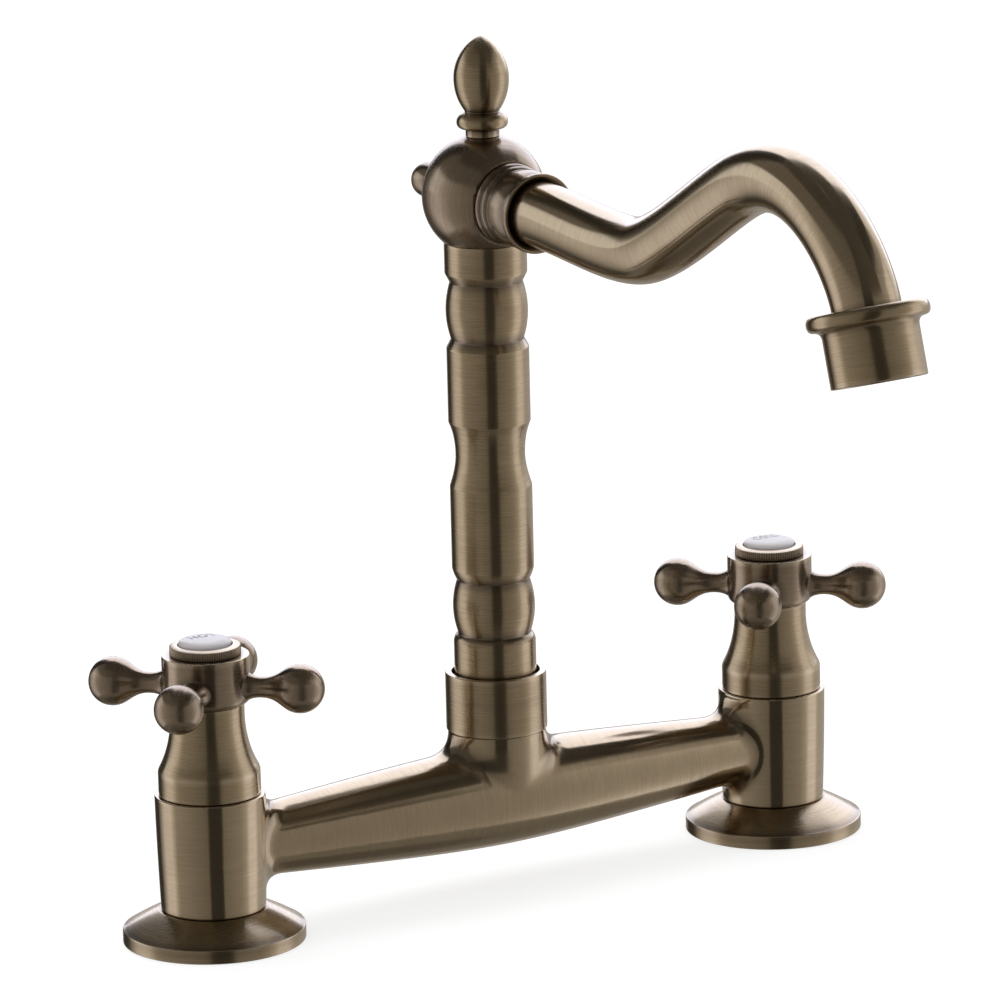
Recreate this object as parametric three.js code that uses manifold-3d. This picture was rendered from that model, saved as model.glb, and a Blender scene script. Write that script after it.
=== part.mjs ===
// Bridge kitchen faucet in antique brass, in millimetres with +Z up.
// The origin is on the deck, midway between the two legs, on the axis that the riser turns about.
// Hot is at -X, cold is at +X, and the spout points to -Y.

import * as THREE from "three";
import { mergeVertices } from "three/addons/utils/BufferGeometryUtils.js";
import Module from "manifold-3d";

const wasm = await Module();
wasm.setup();

// ---- Driving dimensions ----

const CENTRES = 203.2; // between the two inlets: 8 inches
const GAP = 0.3; // between pieces that seat on or turn in each other

// Sides of a turned piece, from the broadest to the slimmest.
const WIDE = 16;
const MIDDLE = 14;
const SLIM = 12;
const SMALL = 8;

// Deck flanges, which the legs stand on.
const FLANGE_RADIUS = 27.6;
const FLANGE_RIM = 4.3;
const FLANGE_TOP = 9.9;
const FLANGE_HOLE = 11;
const FLANGE_WALL = 2.4;

// Legs of the casting: an inlet below, a valve seat, and the cartridge chamber above it.
const LEG_BOTTOM = FLANGE_TOP + GAP;
const LEG_TOP = 45.5;
const LEG_FOOT_RADIUS = 15.8;
const LEG_RADIUS = 16.7;
const INLET_TOP = 20;
const SEAT_HOLE = 5.5;
const CHAMBER_FLOOR = 23.2;
const CHAMBER_RADIUS = 10;

// Threaded bushes, which centre the flanges and take the tails of the supplies.
const BUSH_BOTTOM = 6.5;
const BUSH_RADIUS = FLANGE_HOLE - GAP;
const INLET_RADIUS = 9.3;

// Bridge between the legs, round in section and thickest in the middle.
const BAR_HEIGHT = 27.8;
const BAR_RADIUS = 16.9;
const BAR_TAPER = 0.08; // lost from the radius per millimetre outwards
const BAR_CROWN = 8; // length over which the middle is rounded
const BAR_FILLET_UP = 6.3; // where the bar meets a leg: along the leg
const BAR_FILLET_OUT = 8; // and along the bar
const PORT_RADIUS = 4;
const CORE_MID_RADIUS = 11.5;
const CORE_END_RADIUS = 8;

// Neck of the casting, and the socket that is screwed into it, where the riser turns.
const NECK_RADIUS = 15;
const NECK_TOP = 49.2;
const NECK_FILLET_DOWN = 5;
const NECK_FILLET_OUT = 7.5;
const NECK_BORE = 12.7;
const NECK_LEDGE = 40.7;
const COLLAR_RADIUS = 15.5;
const COLLAR_BOTTOM = NECK_TOP + GAP;
const COLLAR_TOP = 67.4;
const COLLAR_BORE = 13.5;
const SOCKET_STEP = 59.5;
const SOCKET_RADIUS = 10.3;
const SOCKET_FLOOR = 35;
const GRUB_HEIGHT = 54.5;
const GRUB_RADIUS = 2;

// Quarter-turn cartridges, each under its bell.
const CARTRIDGE_RADIUS = CHAMBER_RADIUS - GAP;
const CARTRIDGE_BOTTOM = 25.9;
const CARTRIDGE_TOP = 71;
const DISC_RADIUS = 8;
const DISC_THICKNESS = 2.5;
const HEX_FLATS = 22;
const STEM_RADIUS = 5;
const SPLINE_RADIUS = 4;
const SPLINE_TEETH = 6;
const BELL_RADIUS = 15.4;
const BELL_NECK = 11.2;
const BELL_TOP = 73.2;

// Cross handles.
const HUB_RADIUS = 13.2;
const HUB_BOTTOM = 73.5;
const HUB_TOP = 88.7;
const ARM_HEIGHT = 78.9;
const ARM_REACH = 29.1; // from the axis to the middle of the ball
const ARM_BALL = 7.4;
const ARM_NECK = 3.15;
const ARM_SIDES = 8;
const INDEX_RADIUS = 10.7;
const KNURL_HEIGHT = 2.75;
const INDEX_TOP = 92.05;
const INDEX_RIBS = 18;
const PORCELAIN_RADIUS = 8;
const PORCELAIN_TOP = 94.05;
const HOT_ARMS = -46; // degrees round from +X at rest
const COLD_ARMS = -41.4;

// Riser: a turned column that plugs into the socket.
const RISER_RADIUS = 12.55;
const RISER_BORE = 7;
const SPIGOT_RADIUS = 10;
const SPIGOT_BOTTOM = 38.5;
const O_RING_HEIGHTS = [42.3, 47.6];
const O_RING_RADIUS = 0.75;
const THREAD_RADIUS = 8.6;
const THREAD_TOP = 206.5;

// Ball head, with the spout union in front, the finial on top and a knob behind.
const BALL_HEIGHT = 215.2;
const BALL_RADIUS = 18.8;
const BALL_FLAT = 12.6; // radius of the faces for the riser and the union
const BALL_CAVITY = 11.8;
const STUD_RADIUS = 2.3;
const STUD_LENGTH = 7.2; // of the finial's and the knob's studs, inside the ball
const FINIAL_NECK = 5.1;
const FINIAL_TOP = 264;
const KNOB_RADIUS = 5.5;

// Spout: its droop at the union, its centreline as distance forward and height, and its end.
const DROOP = THREE.MathUtils.degToRad(1.8);
const TUBE_RADIUS = 9.95;
const TUBE_BORE = 8.45;
const SEAL_SEAT = 20.4;
const TUBE_START = 22.3;
const UNION_END = 31.4;
const TUBE_FIT = 0.5; // round the tube where it enters the union and the outlet
const TUBE_INSERT = 2.6; // length of the tube inside the outlet
const SPOUT_PATH = [
  [53.4, 213.6, 76.3, 208.4, 90.6, 213.0],
  [106.7, 218.2, 129.5, 235.4, 143.3, 241.0],
  [172.9, 252.9, 197.0, 227.6, 201.2, 213.7],
];
const OUTLET_TILT = THREE.MathUtils.degToRad(16.5);
const OUTLET_FLANGE = 17.6;
const OUTLET_RADIUS = 13.8;
const OUTLET_LENGTH = 20.7;
const AERATOR_RADIUS = 11.9;
const AERATOR_SEAT = 4.8;
const AERATOR_BOTTOM = OUTLET_LENGTH - 2.4;
const SPRAY_HOLE_RADIUS = 1.7;
const SPRAY_RING_RADIUS = 5.8;

// ---- Geometry helpers ----

// A closed geometry as a solid that can be cut and joined.
function solid(geometry) {
  geometry.deleteAttribute("normal");
  geometry.deleteAttribute("uv");
  const merged = mergeVertices(geometry, 1e-4);
  return new wasm.Manifold(
    new wasm.Mesh({
      numProp: 3,
      vertProperties: merged.attributes.position.array,
      triVerts: new Uint32Array(merged.index.array),
    }),
  );
}

// An outline of radius and height turned about Z. It runs upwards on the outside.
function turned(outline, sides, curveSteps = 4) {
  const geometry = new THREE.LatheGeometry(outline.getPoints(curveSteps), sides);
  return solid(geometry.rotateX(Math.PI / 2));
}

// A plain ring or, with no inner radius, a plain round bar.
function ring(inner, outer, low, high, sides) {
  const outline = new THREE.Path()
    .moveTo(inner, low)
    .lineTo(outer, low)
    .lineTo(outer, high)
    .lineTo(inner, high);
  return turned(inner > 0 ? outline.closePath() : outline, sides);
}

// A flat shape raised from one height to another.
function raised(shape, low, high, curveSteps = 6) {
  const depth = high - low;
  const settings = { depth, bevelEnabled: false, curveSegments: curveSteps };
  return solid(new THREE.ExtrudeGeometry(shape, settings).translate(0, 0, low));
}

// A round shape with teeth on its edge, for a knurl or a spline.
function toothed(radius, depth, teeth) {
  const shape = new THREE.Shape();
  for (let i = 0; i < 2 * teeth; i++) {
    const angle = (Math.PI * i) / teeth;
    const reach = i % 2 ? radius - depth : radius;
    const x = reach * Math.cos(angle);
    const y = reach * Math.sin(angle);
    if (i === 0) {
      shape.moveTo(x, y);
    } else {
      shape.lineTo(x, y);
    }
  }
  return shape.closePath();
}

// A closed skin over rings of points, from the first ring to the last.
function loft(rings) {
  const count = rings[0].length;
  const points = rings.flat();
  const faces = [];
  for (let i = 0; i < count; i++) {
    const next = (i + 1) % count;
    for (let row = 0; row + 1 < rings.length; row++) {
      const here = row * count;
      const there = here + count;
      faces.push(here + i, here + next, there + next);
      faces.push(here + i, there + next, there + i);
    }
    const end = (rings.length - 1) * count;
    faces.push(points.length, next, i);
    faces.push(points.length + 1, end + i, end + next);
  }
  for (const rim of [rings[0], rings.at(-1)]) {
    const middle = new THREE.Vector3();
    rim.forEach((point) => middle.addScaledVector(point, 1 / count));
    points.push(middle);
  }
  const geometry = new THREE.BufferGeometry().setFromPoints(points);
  geometry.setIndex(faces);
  return solid(geometry);
}

// Lines of points that run the length of a loft, as its rings.
function ringsAcross(lines) {
  return lines[0].map((_, row) => lines.map((line) => line[row]));
}

// A concave fillet from one surface to another, drawn towards their corner.
function fillet(start, corner, end, steps) {
  return new THREE.QuadraticBezierCurve3(start, corner, end).getPoints(steps);
}

// ---- Scene graph ----

const FINISHES = {
  brass: { color: 0x84745a, roughness: 0.35, metalness: 1 },
  bareBrass: { color: 0xb89a5a, roughness: 0.4, metalness: 1 },
  steel: { color: 0xa8a9ab, roughness: 0.35, metalness: 1 },
  porcelain: { color: 0xf2f1ec, roughness: 0.15, metalness: 0 },
  ceramic: { color: 0xe4e0d8, roughness: 0.25, metalness: 0 },
  rubber: { color: 0x1c1c1d, roughness: 0.8, metalness: 0 },
  plastic: { color: 0xdedfdd, roughness: 0.5, metalness: 0 },
};

// Puts a solid into a group as a named mesh with its own material.
function place(group, name, made, finish) {
  const { vertProperties, triVerts } = made.getMesh();
  const geometry = new THREE.BufferGeometry();
  geometry.setAttribute("position", new THREE.BufferAttribute(vertProperties, 3));
  geometry.setIndex(new THREE.BufferAttribute(triVerts, 1));
  geometry.computeVertexNormals();
  const mesh = new THREE.Mesh(geometry, new THREE.MeshStandardMaterial(FINISHES[finish]));
  mesh.name = name;
  group.add(mesh);
}

const faucet = new THREE.Group();
faucet.name = "bridge_kitchen_faucet";

// ---- Bridge body: two legs, the bar between them and the neck for the socket, cast in one ----

// The bar is rounded in the middle and then straight, as a hyperbola is.
function barRadius(x) {
  return BAR_RADIUS - BAR_TAPER * (Math.hypot(x, BAR_CROWN) - BAR_CROWN);
}

// A point on the bar, at an angle from straight up.
function onBar(x, angle) {
  const radius = barRadius(x);
  return new THREE.Vector3(x, radius * Math.sin(angle), BAR_HEIGHT + radius * Math.cos(angle));
}

// A point on the cold leg, at an angle from its side that faces the middle.
function onLeg(angle, height) {
  const x = CENTRES / 2 - LEG_FOOT_RADIUS * Math.cos(angle);
  return new THREE.Vector3(x, LEG_FOOT_RADIUS * Math.sin(angle), height);
}

// The bar from leg to leg, with a fillet that runs round both ends.
function bar() {
  const spans = 4;
  const lines = [];
  for (let i = 0; i < WIDE; i++) {
    const angle = (2 * Math.PI * i) / WIDE;
    const tip = barRadius(CENTRES / 2 - LEG_RADIUS);
    const round = Math.asin((tip * Math.sin(angle)) / LEG_FOOT_RADIUS);
    const corner = onLeg(round, BAR_HEIGHT + tip * Math.cos(angle));
    const start = onBar(corner.x - BAR_FILLET_OUT, angle);
    const spread = (BAR_FILLET_UP * Math.sin(angle)) / LEG_FOOT_RADIUS;
    const end = onLeg(round + spread, BAR_HEIGHT + (tip + BAR_FILLET_UP) * Math.cos(angle));
    const half = [];
    for (let k = 0; k < spans; k++) {
      half.push(onBar((start.x * k) / spans, angle));
    }
    half.push(...fillet(start, corner, end, 3));
    const inside = new THREE.Vector3(CENTRES / 2, (tip / 2) * Math.sin(angle), BAR_HEIGHT);
    inside.z += (tip / 2) * Math.cos(angle);
    half.push(inside);
    const other = half.slice(1).map((p) => new THREE.Vector3(-p.x, p.y, p.z));
    lines.push([...half.reverse(), ...other]);
  }
  return loft(ringsAcross(lines));
}

// The neck under the socket's collar, which flares out over the bar.
function neck() {
  const lines = [];
  for (let i = 0; i < WIDE; i++) {
    const angle = (2 * Math.PI * i) / WIDE;
    const x = NECK_RADIUS * Math.cos(angle);
    const y = NECK_RADIUS * Math.sin(angle);
    const radius = barRadius(x);
    const over = Math.asin(y / radius);
    const corner = onBar(x, over);
    const start = new THREE.Vector3(x, y, corner.z + NECK_FILLET_DOWN);
    const spread = (NECK_FILLET_OUT * Math.sin(angle)) / radius;
    const end = onBar(x + NECK_FILLET_OUT * Math.cos(angle), over + spread);
    const top = new THREE.Vector3(x, y, NECK_TOP);
    const inside = new THREE.Vector3(end.x / 2, end.y / 2, BAR_HEIGHT);
    lines.push([inside, ...fillet(start, corner, end, 4).reverse(), top]);
  }
  return loft(ringsAcross(lines));
}

function legOutside() {
  const outline = new THREE.Path()
    .moveTo(0, LEG_BOTTOM)
    .lineTo(LEG_FOOT_RADIUS, LEG_BOTTOM)
    .quadraticCurveTo(LEG_FOOT_RADIUS + 0.7, 26, LEG_RADIUS, LEG_TOP - 0.7)
    .lineTo(LEG_RADIUS - 0.5, LEG_TOP)
    .lineTo(0, LEG_TOP);
  return turned(outline, WIDE, 2);
}

function legInside() {
  const outline = new THREE.Path()
    .moveTo(0, LEG_BOTTOM - 1)
    .lineTo(BUSH_RADIUS + GAP, LEG_BOTTOM - 1)
    .lineTo(BUSH_RADIUS + GAP, INLET_TOP)
    .lineTo(SEAT_HOLE, INLET_TOP)
    .lineTo(SEAT_HOLE, CHAMBER_FLOOR)
    .lineTo(CHAMBER_RADIUS, CHAMBER_FLOOR)
    .lineTo(CHAMBER_RADIUS, LEG_TOP + 1)
    .lineTo(0, LEG_TOP + 1);
  return turned(outline, SLIM);
}

function neckInside() {
  const outline = new THREE.Path()
    .moveTo(0, SOCKET_FLOOR)
    .lineTo(SOCKET_RADIUS, SOCKET_FLOOR)
    .lineTo(SOCKET_RADIUS, NECK_LEDGE)
    .lineTo(NECK_BORE, NECK_LEDGE)
    .lineTo(NECK_BORE, NECK_TOP + 1)
    .lineTo(0, NECK_TOP + 1);
  return turned(outline, WIDE);
}

// The waterway cast inside the bar, from one cartridge chamber to the other.
function waterway() {
  const port = CENTRES / 2 - CHAMBER_RADIUS + 0.6;
  const wide = 82;
  const outline = new THREE.Path()
    .moveTo(0, -port)
    .lineTo(PORT_RADIUS, -port)
    .lineTo(PORT_RADIUS, -wide - 4)
    .lineTo(CORE_END_RADIUS, -wide)
    .lineTo(CORE_MID_RADIUS, -NECK_RADIUS)
    .lineTo(CORE_MID_RADIUS, NECK_RADIUS)
    .lineTo(CORE_END_RADIUS, wide)
    .lineTo(PORT_RADIUS, wide + 4)
    .lineTo(PORT_RADIUS, port)
    .lineTo(0, port);
  return turned(outline, SLIM).rotate([0, 90, 0]).translate([0, 0, BAR_HEIGHT]);
}

function bridgeBody() {
  let body = bar().add(neck());
  for (const x of [-CENTRES / 2, CENTRES / 2]) {
    body = body.add(legOutside().translate([x, 0, 0]));
  }
  body = body.subtract(waterway()).subtract(neckInside());
  for (const x of [-CENTRES / 2, CENTRES / 2]) {
    body = body.subtract(legInside().translate([x, 0, 0]));
  }
  return body;
}

// ---- Riser socket and its set screw ----

// The collar that shows, and below it the threaded spigot inside the casting's neck.
function riserSocket() {
  const spigot = NECK_BORE - GAP;
  const bottom = NECK_LEDGE + GAP;
  const outline = new THREE.Path()
    .moveTo(SOCKET_RADIUS, bottom)
    .lineTo(spigot, bottom)
    .lineTo(spigot, COLLAR_BOTTOM)
    .lineTo(COLLAR_RADIUS, COLLAR_BOTTOM)
    .lineTo(COLLAR_RADIUS, COLLAR_TOP - 0.4)
    .lineTo(COLLAR_RADIUS - 0.4, COLLAR_TOP)
    .lineTo(COLLAR_BORE, COLLAR_TOP)
    .lineTo(COLLAR_BORE, SOCKET_STEP)
    .lineTo(SOCKET_RADIUS, SOCKET_STEP)
    .closePath();
  const grubHole = ring(0, GRUB_RADIUS + GAP, 9, COLLAR_RADIUS + 1, SMALL);
  return turned(outline, WIDE).subtract(
    grubHole.rotate([-90, 0, 0]).translate([0, 0, GRUB_HEIGHT]),
  );
}

// The set screw at the back of the collar, whose tip keeps the riser in its socket.
function grubScrew() {
  const outline = new THREE.Path()
    .moveTo(0, 9)
    .lineTo(1.2, 9)
    .lineTo(GRUB_RADIUS, 10)
    .lineTo(GRUB_RADIUS, 15)
    .lineTo(0, 15);
  const key = new THREE.CylinderGeometry(1.1, 1.1, 5, 6).rotateX(Math.PI / 2);
  return turned(outline, SMALL).subtract(solid(key.translate(0, 0, 15)));
}

// ---- Inlet bush, deck flange and its gasket ----

// Its upper half is screwed into the leg, and its lower half stands in the flange's hole.
function inletBush() {
  return ring(INLET_RADIUS, BUSH_RADIUS, BUSH_BOTTOM, INLET_TOP - GAP, SLIM);
}

function deckFlange() {
  const outline = new THREE.Path()
    .moveTo(FLANGE_RADIUS - FLANGE_WALL, 0)
    .lineTo(FLANGE_RADIUS, 0)
    .lineTo(FLANGE_RADIUS, FLANGE_RIM - 0.4)
    .lineTo(FLANGE_RADIUS - 0.5, FLANGE_RIM)
    .quadraticCurveTo(21.5, 7.8, LEG_FOOT_RADIUS + 0.6, FLANGE_TOP)
    .lineTo(FLANGE_HOLE, FLANGE_TOP)
    .lineTo(FLANGE_HOLE, FLANGE_TOP - FLANGE_WALL)
    .lineTo(LEG_FOOT_RADIUS, FLANGE_TOP - FLANGE_WALL)
    .quadraticCurveTo(20.5, 5.8, FLANGE_RADIUS - FLANGE_WALL, FLANGE_RIM - 1.8)
    .closePath();
  return turned(outline, WIDE, 2);
}

function deckGasket() {
  const outer = FLANGE_RADIUS - FLANGE_WALL - GAP;
  return ring(outer - 3.3, outer, 0.1, 2.1, WIDE);
}

// ---- Quarter-turn cartridge ----

const DISC_BOTTOM = CARTRIDGE_BOTTOM + GAP;
const MOVING_BOTTOM = DISC_BOTTOM + DISC_THICKNESS + GAP;
const PLATE_BOTTOM = MOVING_BOTTOM + DISC_THICKNESS + GAP;
const PLATE_TOP = PLATE_BOTTOM + 2.3;

// The body screws into the leg by its hexagon, and has a window on each side of the discs.
function cartridgeBody() {
  const hexRadius = HEX_FLATS / Math.sqrt(3);
  const hexBottom = LEG_TOP + GAP;
  const hexTop = 50;
  const neckRadius = 6.7;
  const hex = new THREE.CylinderGeometry(hexRadius, hexRadius, hexTop - hexBottom, 6);
  hex.rotateX(Math.PI / 2).translate(0, 0, (hexTop + hexBottom) / 2);
  const bore = new THREE.Path()
    .moveTo(0, CARTRIDGE_BOTTOM - 1)
    .lineTo(DISC_RADIUS + GAP, CARTRIDGE_BOTTOM - 1)
    .lineTo(DISC_RADIUS + GAP, PLATE_TOP + GAP)
    .lineTo(STEM_RADIUS + GAP, PLATE_TOP + GAP)
    .lineTo(STEM_RADIUS + GAP, CARTRIDGE_TOP + 1)
    .lineTo(0, CARTRIDGE_TOP + 1);
  const windows = new THREE.BoxGeometry(3 * CARTRIDGE_RADIUS, 8, DISC_THICKNESS);
  windows.translate(0, 0, MOVING_BOTTOM + DISC_THICKNESS / 2);
  return ring(0, CARTRIDGE_RADIUS, CARTRIDGE_BOTTOM, hexBottom + 1, SLIM)
    .add(solid(hex))
    .add(ring(0, neckRadius, hexBottom, CARTRIDGE_TOP, SLIM))
    .subtract(turned(bore, SLIM))
    .subtract(solid(windows));
}

// The lower ceramic disc, with a kidney-shaped port on each side.
function fixedDisc() {
  const shape = new THREE.Shape().absarc(0, 0, DISC_RADIUS, 0, 2 * Math.PI);
  for (const middle of [0, Math.PI]) {
    const port = new THREE.Path()
      .absarc(0, 0, 6.4, middle - 0.6, middle + 0.6)
      .absarc(0, 0, 3, middle + 0.6, middle - 0.6, true)
      .closePath();
    shape.holes.push(port);
  }
  return raised(shape, DISC_BOTTOM, DISC_BOTTOM + DISC_THICKNESS, 3);
}

// The upper ceramic disc, whose two wings cover the ports when the tap is shut.
function movingDisc() {
  const shape = new THREE.Shape()
    .absarc(0, 0, DISC_RADIUS, -0.75, 0.75)
    .absarc(0, 0, 2.6, 0.95, Math.PI - 0.95)
    .absarc(0, 0, DISC_RADIUS, Math.PI - 0.75, Math.PI + 0.75)
    .absarc(0, 0, 2.6, Math.PI + 0.95, 2 * Math.PI - 0.95)
    .closePath();
  return raised(shape, MOVING_BOTTOM, MOVING_BOTTOM + DISC_THICKNESS, 3);
}

function seatSeal() {
  const low = CHAMBER_FLOOR + GAP;
  return ring(SEAT_HOLE + 0.4, CHAMBER_RADIUS - 0.6, low, CARTRIDGE_BOTTOM - GAP, SMALL);
}

// The spindle: a plate that drives the upper disc, a stem, and a splined top for the handle.
function spindle() {
  const shoulder = 62;
  const top = 81.7;
  const outline = new THREE.Path()
    .moveTo(0, PLATE_BOTTOM)
    .lineTo(DISC_RADIUS - 0.5, PLATE_BOTTOM)
    .lineTo(DISC_RADIUS - 0.5, PLATE_TOP)
    .lineTo(STEM_RADIUS, PLATE_TOP)
    .lineTo(STEM_RADIUS, shoulder)
    .lineTo(0, shoulder);
  return turned(outline, SMALL)
    .add(raised(toothed(SPLINE_RADIUS, 0.4, SPLINE_TEETH), shoulder - 1, top))
    .subtract(ring(0, STUD_RADIUS, 75, top + 1, SMALL));
}

// The bell that hides the cartridge, screwed to its neck.
function bonnet() {
  const bottom = LEG_TOP + GAP;
  const bore = 7;
  const outline = new THREE.Path()
    .moveTo(BELL_RADIUS - 2.1, bottom)
    .lineTo(BELL_RADIUS, bottom)
    .lineTo(BELL_RADIUS, 52.6)
    .lineTo(BELL_RADIUS - 0.3, 53.6)
    .quadraticCurveTo(BELL_RADIUS - 3.8, 60, BELL_NECK, 68.5)
    .lineTo(BELL_NECK, BELL_TOP - 0.3)
    .lineTo(BELL_NECK - 0.3, BELL_TOP)
    .lineTo(bore, BELL_TOP)
    .lineTo(bore, 65)
    .quadraticCurveTo(BELL_RADIUS - 5, 60, BELL_RADIUS - 2.1, 51.5)
    .closePath();
  return turned(outline, WIDE, 3);
}

// ---- Cross handle, its screw and its index ----

const HUB_FLOOR = 84; // of the recess for the screw and the index
const HUB_WEB = 82; // underside of that floor
const RECESS_RADIUS = 8.8;
const INDEX_BOTTOM = HUB_TOP + GAP;

// One arm: a fillet at the hub, a slim neck, and a pear that ends in a ball.
function arm() {
  const tip = ARM_REACH + ARM_BALL;
  const outline = new THREE.Path()
    .moveTo(0, 10)
    .lineTo(5.3, 12)
    .quadraticCurveTo(ARM_NECK, 13.4, ARM_NECK, 17.5)
    .bezierCurveTo(ARM_NECK, 23.2, ARM_BALL, 24.2, ARM_BALL, ARM_REACH)
    .bezierCurveTo(ARM_BALL, tip - 3.3, 4.1, tip, 0, tip);
  return turned(outline, ARM_SIDES, 3).rotate([0, 90, 0]).translate([0, 0, ARM_HEIGHT]);
}

function crossHandle() {
  const outline = new THREE.Path()
    .moveTo(0, HUB_BOTTOM)
    .lineTo(HUB_RADIUS - 1.8, HUB_BOTTOM)
    .quadraticCurveTo(HUB_RADIUS - 0.2, HUB_BOTTOM + 0.4, HUB_RADIUS, HUB_BOTTOM + 2.2)
    .lineTo(HUB_RADIUS, HUB_TOP - 0.4)
    .lineTo(HUB_RADIUS - 0.4, HUB_TOP)
    .lineTo(0, HUB_TOP);
  let handle = turned(outline, WIDE, 2);
  for (const turn of [0, 90, 180, 270]) {
    handle = handle.add(arm().rotate([0, 0, turn]));
  }
  const broach = toothed(SPLINE_RADIUS + GAP, 0.4, SPLINE_TEETH);
  return handle
    .subtract(raised(broach, HUB_BOTTOM - 1, HUB_WEB))
    .subtract(ring(0, STUD_RADIUS, HUB_WEB - 1, HUB_FLOOR + 1, SMALL))
    .subtract(ring(0, RECESS_RADIUS, HUB_FLOOR, HUB_TOP + 1, MIDDLE));
}

function handleScrew() {
  const headBottom = HUB_FLOOR + GAP;
  const headTop = headBottom + 2.2;
  const shank = STUD_RADIUS - GAP;
  const tip = 75.8;
  const outline = new THREE.Path()
    .moveTo(0, tip)
    .lineTo(shank, tip)
    .lineTo(shank, headBottom)
    .lineTo(3.9, headBottom)
    .lineTo(3.9, headTop - 0.8)
    .quadraticCurveTo(3.4, headTop, 2.4, headTop)
    .lineTo(0, headTop);
  const slot = new THREE.BoxGeometry(10, 1, 2).translate(0, 0, headTop);
  return turned(outline, SMALL, 2).subtract(solid(slot));
}

// The knurled ring that screws into the hub and holds the porcelain.
function indexRing() {
  const knurlTop = INDEX_BOTTOM + KNURL_HEIGHT;
  const threadBottom = 87;
  const bevel = new THREE.Path()
    .moveTo(0, knurlTop - 0.5)
    .lineTo(INDEX_RADIUS - 0.4, knurlTop - 0.5)
    .lineTo(INDEX_RADIUS - 0.4, knurlTop)
    .lineTo(PORCELAIN_RADIUS + 0.8, INDEX_TOP)
    .lineTo(0, INDEX_TOP);
  return raised(toothed(INDEX_RADIUS, 0.35, INDEX_RIBS), INDEX_BOTTOM, knurlTop)
    .add(turned(bevel, WIDE))
    .add(ring(0, RECESS_RADIUS - GAP, threadBottom, INDEX_BOTTOM + 0.5, SLIM))
    .subtract(ring(0, PORCELAIN_RADIUS + GAP, INDEX_BOTTOM + 1, INDEX_TOP + 1, MIDDLE));
}

function indexDisc() {
  const bottom = INDEX_BOTTOM + 1 + GAP;
  const outline = new THREE.Path()
    .moveTo(0, bottom)
    .lineTo(PORCELAIN_RADIUS, bottom)
    .lineTo(PORCELAIN_RADIUS, INDEX_TOP + 0.1)
    .quadraticCurveTo(PORCELAIN_RADIUS, PORCELAIN_TOP - 0.6, 5.6, PORCELAIN_TOP - 0.2)
    .lineTo(0, PORCELAIN_TOP);
  return turned(outline, MIDDLE, 3);
}

// ---- Riser: the turned column with its bored spigot, seals and slip ring ----

const SHOULDER = SOCKET_STEP + 2;
const BALL_FACE = Math.sqrt(BALL_RADIUS ** 2 - BALL_FLAT ** 2); // from the ball's middle
const RISER_TOP = BALL_HEIGHT - BALL_FACE - GAP;

// An annular groove in the spigot, cut in from its outside.
function groove(outline, height, low, high) {
  outline
    .lineTo(SPIGOT_RADIUS, height - low)
    .lineTo(SPIGOT_RADIUS - 1.6, height - low)
    .lineTo(SPIGOT_RADIUS - 1.6, height + high)
    .lineTo(SPIGOT_RADIUS, height + high);
}

// From bottom to top: spigot, plain band, bulb, long band, waist, long band, bulb, plain band.
function riserColumn() {
  const valley = 11.1;
  const bulge = 13.9; // control point that swells a bulb to about the radius of a band
  const waist = 10.6;
  const outline = new THREE.Path().moveTo(RISER_BORE, SPIGOT_BOTTOM);
  outline.lineTo(SPIGOT_RADIUS, SPIGOT_BOTTOM);
  O_RING_HEIGHTS.forEach((height) => groove(outline, height, 1.2, 1.2));
  groove(outline, GRUB_HEIGHT, GRUB_RADIUS + GAP, GRUB_RADIUS + GAP);
  outline
    .lineTo(SPIGOT_RADIUS, SHOULDER)
    .lineTo(RISER_RADIUS, SHOULDER)
    .lineTo(RISER_RADIUS, 76.5)
    .quadraticCurveTo(RISER_RADIUS, 78.6, valley, 79.4)
    .quadraticCurveTo(bulge + 0.1, 87.9, valley, 96.3)
    .quadraticCurveTo(12.1, 97.8, RISER_RADIUS, 100)
    .lineTo(RISER_RADIUS, 125.6)
    .quadraticCurveTo(waist, 131.3, waist, 135.2)
    .quadraticCurveTo(waist, 141.3, RISER_RADIUS, 145.6)
    .lineTo(RISER_RADIUS, 168.6)
    .lineTo(valley, 171.3)
    .quadraticCurveTo(bulge, 180, valley, 188.9)
    .lineTo(RISER_RADIUS, 191.7)
    .lineTo(RISER_RADIUS, RISER_TOP)
    .lineTo(THREAD_RADIUS, RISER_TOP)
    .lineTo(THREAD_RADIUS, THREAD_TOP)
    .lineTo(RISER_BORE, THREAD_TOP)
    .closePath();
  return turned(outline, WIDE, 3);
}

function oRing(height) {
  const loop = new THREE.TorusGeometry(SPIGOT_RADIUS - 0.7, O_RING_RADIUS, 4, WIDE);
  return solid(loop.translate(0, 0, height));
}

function slipRing() {
  return ring(SPIGOT_RADIUS + GAP, COLLAR_BORE - GAP, SOCKET_STEP + GAP, SHOULDER - GAP, WIDE);
}

// ---- Ball head, finial and knob ----

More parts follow.
